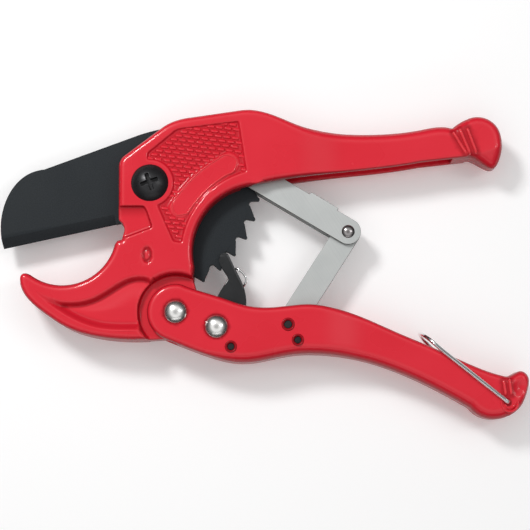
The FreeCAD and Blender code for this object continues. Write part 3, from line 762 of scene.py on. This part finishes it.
def body_casting():
    source = merged_copy("body_casting", "body_skin")
    face_at = grip_face(BODY_GRIP, 22 * MM, GRIP_STEP)
    bores = near_holes([BLADE_AXIS, HANDLE_AXIS], 9 * MM)
    pocket = near_holes([LINK_POCKET], 4.5 * MM)
    walls = wall_tree(source, MID + WALL_LEVEL, MID + WALL_LEVEL,
                      lambda spot, heights: not bores(spot) and not pocket(spot))
    shape = BVHTree.FromObject(source, bpy.context.evaluated_depsgraph_get())
    hook_edge = from_pivot(4, -35)
    steps = wall_tree(source, TOP - 1.1 * MM, TOP - 1.3 * MM, lambda spot, heights: (
        spot.x < hook_edge.x and spot.y < hook_edge.y and min(heights) > TOP - HOOK_DEPTH - 0.1 * MM))
    with_skin(source, size_settings().cell)
    relax(source.data, 3)
    flatten_faces(source.data, face_at, BODY_GRIP)
    ease_hook(source.data, steps, shape)

    def radius_at(normal, x):
        if x > KNOB_START:
            return 3.3 * MM
        grip = unit((x - from_pivot(50, 0).x) / (20 * MM))
        return (2.3 + grip * (1.7 * unit(normal.y) - 1.1 * unit(-normal.y * 1.6))) * MM

    round_edges(source.data, walls, radius_at, face_at)
    relax(source.data, 5)
    knob_facet(source.data)
    oval_mark(source.data)
    # painted highlight on edges; painted shade in recesses, between the bricks and ribs and on the walls
    mark_edges(source, CASTING_HIGHLIGHT, CASTING_SHADE)
    tint_spots(source.data, panel_shade)
    tint_spots(source.data, lambda place: rib_shade(place, NECK_RIBS))
    tint_walls(source.data)
    thinned(source, 0.62)
    smooth_shaded(source)
    source.name = "body_casting_skin"
    complete(source, "paint", "root", "red_paint", "body_casting")


def ease_hook(mesh, steps, shape):
    """Turns the hook's stepped field into one whose banks roll down to a crease."""
    place = read_points(mesh)
    loose = np.zeros(len(place))
    high = from_pivot(2, -34)
    for index, (x, y, z) in enumerate(place):
        if x > high.x or y > high.y:
            continue
        sign = 1 if z > MID else -1
        depth = TOP - (MID + sign * (z - MID))
        if depth > HOOK_DEPTH + 0.35 * MM or depth < 0.08 * MM:
            continue
        found = steps.find_nearest(Vector((x, y, TOP - 1.2 * MM)))
        flat = math.hypot(x - found[0].x, y - found[0].y)
        loose[index] = 0.8 * unit(1 - (flat - 1.5 * MM) / (2 * MM))
        below = shape.ray_cast(Vector((x, y, TOP + MM)), Vector((0, 0, -1)))[0]
        if below is None or abs(TOP - HOOK_DEPTH - below.z) > 0.1 * MM:
            if flat < 1.7 * MM:
                place[index, 2] = MID + sign * (TOP - MID)
            continue
        rise = unit((flat - HOOK_EASE) / (8 * MM))
        bank = HOOK_DEPTH - rise * rise * (3 - 2 * rise) * 0.6 * MM
        rib = is_rib_bank(found[1])
        if rib and flat < RIB_EASE:
            depth = bank * (0.5 - 0.5 * math.cos(math.pi * flat / RIB_EASE))
        elif not rib and flat < HOOK_EASE:
            depth = HOOK_DEPTH * (1 - math.sqrt(max(1 - (flat / HOOK_EASE) ** 2, 0.0)))
        else:
            depth = bank
        place[index, 2] = MID + sign * (TOP - depth - MID)
    write_points(mesh, place)
    relax(mesh, 24, loose)


def is_rib_bank(normal):
    """The bottom rib's bank faces the pipe, the cradle's band faces away from it."""
    return normal.y > 0.2


def knob_facet(mesh):
    """Slopes the lower part of the upper grip's knob away from its face."""
    place = read_points(mesh)
    start, end = from_pivot(128.6, 11.4), from_pivot(140.5, 15.6)
    along = (end - start).normalized()
    below = Vector((along.y, -along.x, 0))
    for index, (x, y, z) in enumerate(place):
        if x < from_pivot(126, 0).x:
            continue
        run = (x - start.x) * below.x + (y - start.y) * below.y
        if run > 0:
            place[index, 2] = MID + (z - MID) * (1 - min(0.055 * run / MM, 0.45))
    write_points(mesh, place)


def oval_distance(place):
    """Distance from the oval's middle, as a share of its radii."""
    u = (place[:, 0] - OVAL_MIDDLE.x) / OVAL_RADII[0]
    v = (place[:, 1] - OVAL_MIDDLE.y) / OVAL_RADII[1]
    return np.hypot(u, v)


def oval_mark(mesh):
    """A small plain oval inset below the front pocket."""
    place = read_points(mesh)
    near = np.abs(place[:, 0] - OVAL_MIDDLE.x) < 3.2 * MM
    near &= np.abs(place[:, 1] - OVAL_MIDDLE.y) < 4.6 * MM
    near &= np.abs(np.abs(place[:, 2] - MID) - HALF) < 0.2 * MM
    out = oval_distance(place[near])
    dip = 0.75 * MM * np.clip((1.12 - out) / 0.20, 0, 1) - 0.45 * MM * np.clip((0.62 - out) / 0.25, 0, 1)
    place[near, 2] -= np.sign(place[near, 2] - MID) * dip
    write_points(mesh, place)


def tint_spots(mesh, rule):
    """Raises the painted shade attribute where the rule says so."""
    place = read_points(mesh)
    values = np.empty(len(place))
    layer = mesh.attributes["painted_shade"].data
    layer.foreach_get("value", values)
    layer.foreach_set("value", np.clip(np.maximum(values, rule(place)), 0.0, 1.0))


def tint_walls(mesh):
    """Paint looks deeper on the upright walls, where less light falls."""
    flat = np.abs(read_vectors(mesh.vertices, "normal")[:, 2])
    steep = np.clip((0.93 - flat) / 0.55, 0.0, 1.0)
    tint_spots(mesh, lambda place: 0.85 * steep)


def panel_shade(place):
    """Painted shade between the panel's bricks, in the oval's ring and under the pocket's ledge."""
    across, up = place[:, 0], place[:, 1]
    depth = HALF - np.abs(place[:, 2] - MID)
    low, high = from_pivot(-3, -27), from_pivot(41, 28)
    inside = (across > low.x) & (across < high.x) & (up > low.y) & (up < high.y)
    sunk = np.abs(depth - PANEL_DEPTH) < 0.12 * MM
    ring = (np.abs(oval_distance(place) - 0.72) < 0.22) & (depth < 1.2 * MM)
    ledge = from_pivot(-1.5, -9.2)
    under = np.clip(1 - (ledge.y - up) / (4.5 * MM), 0, 1)
    pocket = (across < ledge.x) & (up < ledge.y) & (depth > 0.4 * MM) & (depth < 3 * MM)
    shade = np.where(ring, 0.8, np.where(inside & sunk, 0.42, 0.0))
    return np.maximum(shade, np.where(pocket, 0.75 * under, 0.0))


def rib_shade(place, rows):
    """Painted shade between the raised ribs."""
    shade = np.zeros(len(place))
    for first, last in rows:
        a, b = from_pivot(*first), from_pivot(*last)
        run_x, run_y = b.x - a.x, b.y - a.y
        along = (place[:, 0] - a.x) * run_x + (place[:, 1] - a.y) * run_y
        share = np.clip(along / (run_x ** 2 + run_y ** 2), 0, 1)
        away = np.hypot(place[:, 0] - a.x - share * run_x, place[:, 1] - a.y - share * run_y)
        shade = np.maximum(shade, 0.65 * np.clip((2.2 * MM - away) / (1.0 * MM), 0, 1))
    return shade


def lower_handle():
    source = merged_copy("lower_handle", "lower_handle_skin")
    pins = [middle(node) for node in PINS]
    rivet_spots = [HANDLE_AXIS, PAWL_AXIS]
    small = near_holes(pins + [BAIL_AXIS], 2.3 * MM)
    wide = near_holes(rivet_spots, 5 * MM)
    walls = wall_tree(source, MID + WALL_LEVEL, MID + WALL_LEVEL,
                      lambda spot, heights: not small(spot) and not wide(spot))
    with_skin(source, size_settings().cell)
    relax(source.data, 3)
    face_at = grip_face(HANDLE_GRIP, 20 * MM, GRIP_STEP)
    flatten_faces(source.data, face_at, HANDLE_GRIP)

    def radius_at(normal, x):
        if x > HEEL_START:
            return 3.2 * MM
        spine = unit(-normal.y * 1.4)
        ear = unit((x - from_pivot(22, 0).x) / (12 * MM))
        return (2.1 + ear * 2.3 * spine) * MM

    round_edges(source.data, walls, radius_at, face_at)
    relax(source.data, 5)
    thumb_dish(source.data)
    # painted highlight on edges; painted shade in recesses, round the holes and rivets and on the walls
    mark_edges(source, CASTING_HIGHLIGHT, CASTING_SHADE)
    dark = [(spot, 2.1 * MM) for spot in pins] + [(BAIL_AXIS, 1.9 * MM)]
    dark += [(spot, 5.3 * MM) for spot in rivet_spots]

    def hole_shade(place):
        shade = np.zeros(len(place))
        for spot, reach in dark:
            away = np.hypot(place[:, 0] - spot.x, place[:, 1] - spot.y)
            shade = np.maximum(shade, np.clip((reach - away) / (0.5 * MM), 0, 1))
        return shade

    tint_spots(source.data, hole_shade)
    tint_spots(source.data, lambda place: rib_shade(place, HEEL_RIBS))
    tint_walls(source.data)
    thinned(source, 0.7)
    smooth_shaded(source)
    complete(source, "paint", "lower_handle", "red_paint", "lower_handle")


def thumb_dish(mesh):
    """A shallow dish in both faces of the lower grip's end."""
    place = read_points(mesh)
    centre = from_pivot(145.4, -80.6)
    away = np.hypot((place[:, 0] - centre.x) / (3.4 * MM), (place[:, 1] - centre.y) / (4.6 * MM))
    face = np.abs(np.abs(place[:, 2] - MID) - GRIP_HALF * MM) < 0.8 * MM
    dip = np.where(face & (away < 1), 1.1 * MM * (1 - np.minimum(away, 1) ** 2) ** 2, 0.0)
    place[:, 2] -= np.sign(place[:, 2] - MID) * dip
    write_points(mesh, place)


def bead(name, route, radius, body, edge=0.15, painted_shade=0.0):
    """A slender raised line of the casting, lying along its face; its edge value lightens it as a painted
    highlight and its shade value darkens it as painted shade.
    """
    obj = wire_mesh(name, route, radius, 10)
    for layer, value in (("edge", edge), ("painted_shade", painted_shade)):
        store(obj.data, layer, np.full(len(obj.data.vertices), value))
    complete(obj, "paint", body, "red_paint")


def circle_route(centre, radius, height, start=0.0, sweep=360.0, steps=36):
    route = []
    for step in range(steps + 1):
        turn = math.radians(start + sweep * step / steps)
        route.append(Vector((centre.x + radius * math.cos(turn), centre.y + radius * math.sin(turn), height)))
    return route


def pad_route(sign):
    """The closed outline of the blank pad, just inside its edge."""
    (inner, outer), (start, end) = PAD_RADII, PAD_TURNS
    stops = [(inner, start + (end - start) * step / 8) for step in range(9)]
    stops += [((inner + outer) / 2, end - PAD_CORNER)]
    stops += [(outer, end + (start - end) * step / 8) for step in range(9)]
    stops += [((inner + outer) / 2, start + PAD_CORNER)]
    route = []
    for radius, turn in stops + stops[:1]:
        turn = math.radians(turn)
        x, y = PAD_CENTRE[0] + radius * math.cos(turn), PAD_CENTRE[1] + radius * math.sin(turn)
        route.append(from_pivot(x, y, sign * PAD_FACE))
    return smooth_route(route, 4)


def raised_lines():
    """The ribs of the two knobs and the beads round the handle's small holes, on both faces."""
    for side, sign in SIDES:
        level = sign * (GRIP_HALF + 0.02)
        low = sign * (GRIP_HALF - 0.9)
        for family, rows, body in (("neck_rib", NECK_RIBS, "root"), ("heel_rib", HEEL_RIBS, "lower_handle")):
            for number, (first, last) in enumerate(rows):
                a, b = Vector(first), Vector(last)
                stops = [(0.0, low), (0.10, level), (0.5, level), (0.90, level), (1.0, low)]
                spots = [(a.lerp(b, share), rise) for share, rise in stops]
                route = smooth_route([from_pivot(spot.x, spot.y, rise) for spot, rise in spots], 8)
                # the ribs carry a painted highlight
                bead(f"{family}_{side}_{number}", route, 0.60 * MM, body, 0.85)
        # the pad's outline carries a painted highlight
        bead(f"pad_outline_{side}", pad_route(sign), 0.30 * MM, "root", 0.7)
        for name, reach, width, start, sweep in (("ring", 3.2, 0.45, 170, 200), ("curl", 1.9, 0.35, 200, 150)):
            route = circle_route(HEEL_RING, reach * MM, MID + level * MM, start, sweep)
            bead(f"heel_{name}_{side}", route, width * MM, "lower_handle")
        # the beads round the pin holes carry a ring of painted shade
        for number, node in enumerate(PINS):
            radius = (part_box(node)[1][0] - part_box(node)[0][0]) / 2
            route = circle_route(middle(node), radius + 0.62 * MM, MID + sign * (HALF - 0.02 * MM))
            bead(f"hole_bead_{side}_{number}", route, 0.42 * MM, "lower_handle", 0.0, 0.9)


# ------------------------------------------------------------------ the rest of the pieces
def plain_pieces():
    """Pieces whose CAD shape only needs eased edges: name, node, body, slot, material, bevel."""
    rows = [
        ("blade_plate", "blade", "blade", "blade_coat", "coat", 0.10),
        ("pawl_plate", "pawl", "pawl", "dark_steel", "dark", 0.30),
        ("upper_link_sheet", "upper_link", "upper_link", "link_steel", "sheet", 0.32),
        ("lower_link_sheet", "lower_link", "lower_link", "link_steel", "sheet", 0.28),
        ("screw_nut", "blade_pivot_nut", "root", "dark_steel", "dark", 0.25),
        ("screw_washer", "blade_pivot_washer", "root", "dark_steel", "dark", 0.12),
        ("screw_bush", "blade_pivot_bush", "root", "link_steel", "sheet", 0.12),
        ("lug_bush", "handle_pivot_bush", "root", "link_steel", "sheet", 0.12),
        ("pivot_washer", "handle_pivot_washer", "lower_handle", "nickel", "nickel", 0.10),
        ("pawl_washer", "pawl_rivet_washer", "lower_handle", "nickel", "nickel", 0.10),
        ("pawl_side_spacers", "pawl_spacers", "lower_handle", "dark_steel", "dark", 0.12),
        ("spring_pin", "pawl_spring_pin", "lower_handle", "dark_steel", "dark", 0.25),
        ("link_pin", "lower_link_pin", "lower_handle", "dark_steel", "dark", 0.25),
        ("stop_pin", "spring_stop_pin", "lower_handle", "dark_steel", "dark", 0.25),
        ("knee_washers", "link_washers", "lower_link", "dark_steel", "dark", 0.03),
    ]
    for name, node, body, slot, material, width in rows:
        obj = softened(node, name, width * MM)
        mark_edges(obj, 0.6, 0.6)
        complete(obj, material, body, slot, node)


def pivot_screw():
    obj = even_skinned("blade_pivot_screw", "domed_screw", 0.13 * MM, 8, 1.6, 2.0)
    complete(obj, "black", "root", "black_oxide", "blade_pivot_screw")


def rivets():
    rows = [("pivot_rivet", "handle_pivot_rivet", "lower_handle", "nickel"),
            ("pawl_pivot_rivet", "pawl_rivet", "lower_handle", "nickel"),
            ("knee_rivet", "link_rivet", "upper_link", "smoked")]
    for name, node, body, material in rows:
        obj = even_skinned(node, name, 0.14 * MM, 10)
        complete(obj, material, body, "nickel", node)


COIL_STEPS = 24            # stops of a coil's route for each turn


def coil_route(centre, radius, pitch, turns, start_turn):
    steps = int(turns * COIL_STEPS)
    route = []
    for step in range(steps + 1):
        turn = start_turn + math.tau * turns * step / steps
        lift = pitch * turns * (step / steps - 0.5)
        route.append(centre + Vector((radius * math.cos(turn), radius * math.sin(turn), lift)))
    return route


def springs():
    wire = size_settings().spring_wire
    route = coil_route(PAWL_AXIS, 3.9 * MM, 2.1 * wire, 2.5, math.radians(150))
    hook = [(27.2, -46.5, -0.3), (28.4, -42.2, -0.2), (30.6, -38.4, 0.4), (33.6, -33.6, 1.6),
            (36.0, -34.3, 2.4), (37.9, -36.6, 2.4), (38.0, -38.9, 1.8), (36.8, -40.6, 1.0)]
    leg = smooth_route([route[0]] + [from_pivot(*stop) for stop in hook], 8)
    obj = wire_mesh("pawl_torsion_spring", list(reversed(leg[1:])) + route, wire)
    complete(obj, "wire", "pawl", "wire_chrome", "pawl_spring")
    route = coil_route(LINK_AXIS, 2.6 * MM, 2.1 * wire * 0.8, 1.6, math.radians(20))
    along = (KNEE - LINK_AXIS).normalized()
    end = route[-1] + along * 13 * MM
    obj = wire_mesh("opening_torsion_spring", route + [route[-1].lerp(end, 0.5), end], wire * 0.85)
    complete(obj, "wire", "lower_link", "wire_chrome", "opening_spring")


PAWL_FACE = 3.42           # height of the fold from the middle plane, in millimetres


def pawl_fold():
    """The raised fold along the pawl's arm, made lighter by a painted highlight."""
    stops = [(30.6, -27.9, 0.4), (31.3, -29.2, 0.0), (33.8, -34.6, 0.0), (36.3, -39.6, 0.0),
             (37.2, -42.0, 0.4)]
    for side, sign in SIDES:
        level = sign * PAWL_FACE
        route = [from_pivot(x, y, level - sign * drop) for x, y, drop in stops]
        obj = wire_mesh("pawl_fold_" + side, smooth_route(route, 8), 0.42 * MM, 10)
        # the fold's lighter colour is a painted highlight
        store(obj.data, "edge", np.full(len(obj.data.vertices), 0.75))
        complete(obj, "dark", "pawl", "dark_steel")


def darken_crown(mesh):
    """A painted dark reflection along the wire's outermost side, on both legs."""
    outward = read_vectors(mesh.vertices, "normal")[:, 2] * np.sign(read_points(mesh)[:, 2] - MID)
    store(mesh, "crown", np.clip((outward - 0.955) / 0.04, 0.0, 0.9))


# The bail's lengths are in millimetres; the bow's are measured along and beside the legs.
BAIL_HALF = 9.0
BAIL_ANGLE = math.radians(141.5)
BOW_START = 33.6
BOW_REACH = 9.3
BOW_DROP = 0.9
BOW_STEPS = 16


def locking_bail():
    start = Vector((BAIL_AXIS.x, BAIL_AXIS.y, MID))
    along = Vector((math.cos(BAIL_ANGLE), math.sin(BAIL_ANGLE), 0))
    side = Vector((-along.y, along.x, 0))

    def at(run, rise, off=0.0):
        return start + along * run * MM + side * off * MM + Vector((0, 0, rise * MM))

    leg = [(0, 5.8), (0, 7.6), (0.25, 8.7), (1.2, BAIL_HALF)] + [(run, BAIL_HALF) for run in (4, 12, 22, 31)]
    bow = []
    for step in range(1, BOW_STEPS):
        turn = math.pi * step / BOW_STEPS
        out = math.sin(turn)
        bow.append(at(BOW_START + BOW_REACH * out, BAIL_HALF * math.cos(turn), -BOW_DROP * out))
    near = [at(run, rise) for run, rise in leg]
    far = [at(run, -rise) for run, rise in reversed(leg)]
    obj = wire_mesh("locking_bail_wire", smooth_route(near + bow + far, 5), size_settings().bail_wire, 24)
    darken_crown(obj.data)
    complete(obj, "wire", "bail", "wire_chrome", "locking_bail")


# ------------------------------------------------------------------ brick texture, by geometry nodes
def brick_mesh(length, width, height):
    """One low pillow with soft shoulders."""
    skin = bmesh.new()
    along, across = 6, 4
    rows = []
    for i in range(along + 1):
        row = []
        for j in range(across + 1):
            u, v = 2 * i / along - 1, 2 * j / across - 1
            x = math.copysign(abs(u) ** 0.8, u) * length / 2
            y = math.copysign(abs(v) ** 0.8, v) * width / 2 * (1 - 0.35 * u ** 4)
            rise = (1 - u ** 6) * (1 - v ** 4)
            row.append(skin.verts.new((x, y, height * (rise ** 0.5) * (1 - 0.35 * v))))
        rows.append(row)
    for i in range(along):
        for j in range(across):
            skin.faces.new((rows[i][j], rows[i + 1][j], rows[i + 1][j + 1], rows[i][j + 1]))
    front, back = [row[0] for row in rows], [row[-1] for row in rows]
    skin.faces.new(list(reversed(front + rows[-1][1:-1] + back[::-1] + rows[0][-2:0:-1])))
    mesh = bpy.data.meshes.new("brick")
    skin.to_mesh(mesh)
    skin.free()
    return mesh


def scatter_tree(material):
    """Puts one pillow on each point of a mesh, turned by an angle, and gives them a material."""
    tree = bpy.data.node_groups.new("brick_scatter", "GeometryNodeTree")
    for label, kind in (("Geometry", "Geometry"), ("Brick", "Object"), ("Turn", "Vector"), ("Size", "Float")):
        tree.interface.new_socket(name=label, in_out="INPUT", socket_type="NodeSocket" + kind)
    tree.interface.new_socket(name="Geometry", in_out="OUTPUT", socket_type="NodeSocketGeometry")
    nodes, links = tree.nodes, tree.links
    enter, leave = nodes.new("NodeGroupInput"), nodes.new("NodeGroupOutput")
    info = nodes.new("GeometryNodeObjectInfo")
    place = nodes.new("GeometryNodeInstanceOnPoints")
    turn = nodes.new("FunctionNodeEulerToRotation")
    real = nodes.new("GeometryNodeRealizeInstances")
    paint = nodes.new("GeometryNodeSetMaterial")
    paint.inputs["Material"].default_value = material
    points = nodes.new("GeometryNodeMeshToPoints")
    for source, outlet, target, inlet in (
            (enter, "Geometry", points, "Mesh"), (enter, "Brick", info, "Object"),
            (points, "Points", place, "Points"), (info, "Geometry", place, "Instance"),
            (enter, "Turn", turn, "Euler"), (turn, "Rotation", place, "Rotation"),
            (enter, "Size", place, "Scale"), (place, "Instances", real, "Geometry"),
            (real, "Geometry", paint, "Geometry"), (paint, "Geometry", leave, "Geometry")):
        links.new(source.outputs[outlet], target.inputs[inlet])
    return tree


def set_input(modifier, label, value):
    for item in modifier.node_group.interface.items_tree:
        if item.item_type == "SOCKET" and item.in_out == "INPUT" and item.name == label:
            modifier[item.identifier] = value
            return
    raise RuntimeError("no input named " + label)


def tilted(along, across):
    """A step along and across the panel's rows."""
    return Vector((along * math.cos(PANEL_TILT) - across * math.sin(PANEL_TILT),
                   along * math.sin(PANEL_TILT) + across * math.cos(PANEL_TILT), 0))


def floor_points(tree, sign):
    """Places on the sunk panel's floor, in staggered rows, that keep clear of its walls."""
    sizes = size_settings()
    places = []
    step_x = sizes.brick_length * 1.08
    floor_z = MID + sign * (HALF - PANEL_DEPTH)

    def is_floor(spot):
        hit = tree.ray_cast(Vector((spot.x, spot.y, MID + sign * 0.05)), Vector((0, 0, -sign)))[0]
        return hit is not None and abs(hit.z - floor_z) <= 0.05 * MM

    for row in range(-24, 24):
        for column in range(-14, 14):
            shift = 0.5 if row % 2 else 0.0
            spot = PANEL_MIDDLE + tilted((column + shift) * step_x, row * sizes.brick_pitch)
            if all(is_floor(spot + tilted(share * sizes.brick_length, 0.0)) for share in (0, 0.2, -0.2)):
                places.append(Vector((spot.x, spot.y, floor_z)))
    return places


def panel_bricks():
    sizes = size_settings()
    source = merged_copy("body_casting", "brick_guide")
    skin = bmesh.new()
    skin.from_mesh(source.data)
    tree = BVHTree.FromBMesh(skin)
    skin.free()
    bpy.data.objects.remove(source)
    brick = new_object("brick", brick_mesh(sizes.brick_length, sizes.brick_pitch * 0.86, sizes.brick_height))
    scatter = scatter_tree(MATERIALS["paint"])
    for side, sign in SIDES:
        name = "panel_bricks_" + side
        sink = Vector((0, 0, sign * 0.05 * MM))
        mesh = bpy.data.meshes.new(name)
        mesh.from_pydata([tuple(place - sink) for place in floor_points(tree, sign)], [], [])
        obj = new_object(name, mesh)
        modifier = obj.modifiers.new("bricks", "NODES")
        modifier.node_group = scatter
        set_input(modifier, "Brick", brick)
        set_input(modifier, "Turn", (0.0 if sign > 0 else math.pi, 0.0, PANEL_TILT))
        set_input(modifier, "Size", 1.0)
        settle(obj)
        smooth_shaded(obj)
        for layer in ("edge", "painted_shade"):
            obj.data.attributes.new(layer, "FLOAT", "POINT")
        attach(obj, "root")
    bpy.data.objects.remove(brick)


# ------------------------------------------------------------------ stage
VIEW_TARGET = from_pivot(45.65, -31.6)
VIEW_TILT = math.radians(7.0)
VIEW_DISTANCE = 0.60
SENSOR_WIDTH = 36.0
FOCAL_LENGTH = 101.9
FLOOR_REACH = 3.0
FLOOR_LEVEL = -0.45 * MM
# name, place from the view's target, width and height, power
LIGHTS = (
    ("key", (-0.34, 0.40, 0.60), (0.16, 0.16), 2.9),
    ("fill", (0.46, 0.12, 0.62), (0.10, 0.30), 0.42),
    ("low", (0.05, -0.62, 0.40), (0.9, 0.12), 0.3),
)
# the tent's brightness at the horizon, overhead, and at heights between them
TENT_LOW, TENT_TOP = 0.03, 0.40
TENT_BANDS = ((0.30, 0.05), (0.60, 0.25), (0.80, 0.95), (0.92, 0.85), (0.97, 0.48))


def area_light(name, offset, size, power):
    data = bpy.data.lights.new(name, "AREA")
    data.shape = "RECTANGLE"
    data.size, data.size_y = size
    data.energy = power
    obj = new_object(name, data)
    obj.location = VIEW_TARGET + Vector(offset)
    obj.rotation_euler = (-Vector(offset)).to_track_quat("-Z", "Y").to_euler()


def main_camera():
    data = bpy.data.cameras.new("camera")
    data.sensor_width = SENSOR_WIDTH
    data.lens = FOCAL_LENGTH
    camera = new_object("camera", data)
    camera.location = VIEW_TARGET + Vector((0, -math.sin(VIEW_TILT), math.cos(VIEW_TILT))) * VIEW_DISTANCE
    camera.rotation_euler = (VIEW_TILT, 0, 0)
    bpy.context.scene.camera = camera


def pale_floor():
    mesh = bpy.data.meshes.new("floor")
    turns = ((-1, -1), (1, -1), (1, 1), (-1, 1))
    mesh.from_pydata([(x * FLOOR_REACH, y * FLOOR_REACH, FLOOR_LEVEL) for x, y in turns], [], [(0, 1, 2, 3)])
    material, tree, shader, where = new_material(
        "pale_floor", Roughness=0.6, Emission_Color=(1, 1, 1, 1), Emission_Strength=0.14)
    tone = place_tone(tree, where, 3.0, 200.0)
    pale = mixed(tree, tone.outputs["Slow"], (0.93, 0.93, 0.93, 1), (0.95, 0.95, 0.95, 1))
    tree.links.new(pale, shader.inputs["Base Color"])
    mesh.materials.append(material)
    new_object("floor", mesh)


def camera_and_lights():
    scene = bpy.context.scene
    scene.view_settings.view_transform = "Standard"
    main_camera()
    pale_floor()
    for row in LIGHTS:
        area_light(*row)
    scene.world = studio_world()


def studio_world():
    """A soft tent: bright overhead, darker toward the horizon."""
    world = bpy.data.worlds.new("studio")
    world.use_nodes = True
    tree = world.node_tree
    back = tree.nodes["Background"]
    where = tree.nodes.new("ShaderNodeTexCoord").outputs["Generated"]
    split = tree.nodes.new("ShaderNodeSeparateXYZ")
    ramp = tree.nodes.new("ShaderNodeValToRGB")
    tree.links.new(where, split.inputs["Vector"])
    tree.links.new(split.outputs["Z"], ramp.inputs["Fac"])
    stops = ramp.color_ramp.elements
    stops[0].color = colour4([TENT_LOW] * 3)
    stops[1].color = colour4([TENT_TOP] * 3)
    for height, level in TENT_BANDS:
        stops.new(height).color = colour4([level] * 3)
    tree.links.new(ramp.outputs["Color"], back.inputs["Color"])
    back.inputs["Strength"].default_value = 1.0
    return world


# ------------------------------------------------------------------ operators, panel and main
class CUTTER_OT_stage(bpy.types.Operator):
    """Makes the camera, the floor and the lights"""

    bl_idname = "cutter.stage"
    bl_label = "Stage"

    def execute(self, context):
        camera_and_lights()
        return {"FINISHED"}


class CUTTER_OT_finishes(bpy.types.Operator):
    """Makes every material"""

    bl_idname = "cutter.finishes"
    bl_label = "Finishes"

    def execute(self, context):
        make_materials()
        return {"FINISHED"}


class CUTTER_OT_body(bpy.types.Operator):
    """Makes the jaw and fixed handle"""

    bl_idname = "cutter.body"
    bl_label = "Body casting"

    def execute(self, context):
        body_casting()
        return {"FINISHED"}


class CUTTER_OT_bricks(bpy.types.Operator):
    """Makes the raised texture of the sunk panels"""

    bl_idname = "cutter.bricks"
    bl_label = "Panel bricks"

    def execute(self, context):
        panel_bricks()
        return {"FINISHED"}


class CUTTER_OT_handle(bpy.types.Operator):
    """Makes the moving handle"""

    bl_idname = "cutter.handle"
    bl_label = "Lower handle"

    def execute(self, context):
        lower_handle()
        return {"FINISHED"}


class CUTTER_OT_lines(bpy.types.Operator):
    """Makes the knobs' ribs and the beads round the holes"""

    bl_idname = "cutter.lines"
    bl_label = "Raised lines"

    def execute(self, context):
        raised_lines()
        return {"FINISHED"}


class CUTTER_OT_plain(bpy.types.Operator):
    """Makes the blade, pawl, links, pins and washers"""

    bl_idname = "cutter.plain"
    bl_label = "Plain pieces"

    def execute(self, context):
        plain_pieces()
        return {"FINISHED"}


class CUTTER_OT_screw(bpy.types.Operator):
    """Makes the domed screw of the blade pivot"""

    bl_idname = "cutter.screw"
    bl_label = "Pivot screw"

    def execute(self, context):
        pivot_screw()
        return {"FINISHED"}


class CUTTER_OT_rivets(bpy.types.Operator):
    """Makes the bright domed rivets"""

    bl_idname = "cutter.rivets"
    bl_label = "Rivets"

    def execute(self, context):
        rivets()
        return {"FINISHED"}


class CUTTER_OT_springs(bpy.types.Operator):
    """Makes the two torsion springs"""

    bl_idname = "cutter.springs"
    bl_label = "Springs"

    def execute(self, context):
        springs()
        return {"FINISHED"}


class CUTTER_OT_fold(bpy.types.Operator):
    """Makes the raised fold along the pawl's arm, with its painted highlight"""

    bl_idname = "cutter.fold"
    bl_label = "Pawl fold"

    def execute(self, context):
        pawl_fold()
        return {"FINISHED"}


class CUTTER_OT_bail(bpy.types.Operator):
    """Makes the wire bail"""

    bl_idname = "cutter.bail"
    bl_label = "Locking bail"

    def execute(self, context):
        locking_bail()
        return {"FINISHED"}


OPERATORS = [
    CUTTER_OT_stage, CUTTER_OT_finishes, CUTTER_OT_body, CUTTER_OT_bricks, CUTTER_OT_handle,
    CUTTER_OT_lines, CUTTER_OT_plain, CUTTER_OT_screw, CUTTER_OT_rivets, CUTTER_OT_springs, CUTTER_OT_fold,
    CUTTER_OT_bail,
]


class CUTTER_PT_panel(bpy.types.Panel):
    """Lists the cutter's settings and the pieces that can be made"""

    bl_idname = "CUTTER_PT_panel"
    bl_label = "Pipe Cutter"
    bl_space_type = "VIEW_3D"
    bl_region_type = "UI"
    bl_category = "Pipe Cutter"

    def draw(self, context):
        for group in (context.scene.cutter_finish, context.scene.cutter_sizes):
            for name in group.__annotations__:
                self.layout.prop(group, name)
        for operator in OPERATORS:
            self.layout.operator(operator.bl_idname)


CLASSES = [CUTTER_finish, CUTTER_sizes, *OPERATORS, CUTTER_PT_panel]


def register():
    for item in CLASSES:
        bpy.utils.register_class(item)
    bpy.types.Scene.cutter_finish = bpy.props.PointerProperty(type=CUTTER_finish)
    bpy.types.Scene.cutter_sizes = bpy.props.PointerProperty(type=CUTTER_sizes)


def unregister():
    del bpy.types.Scene.cutter_sizes
    del bpy.types.Scene.cutter_finish
    for item in reversed(CLASSES):
        bpy.utils.unregister_class(item)


def main():
    register()
    for operator in OPERATORS:
        family, name = operator.bl_idname.split(".")
        getattr(getattr(bpy.ops, family), name)()


if __name__ == "__main__":
    main()
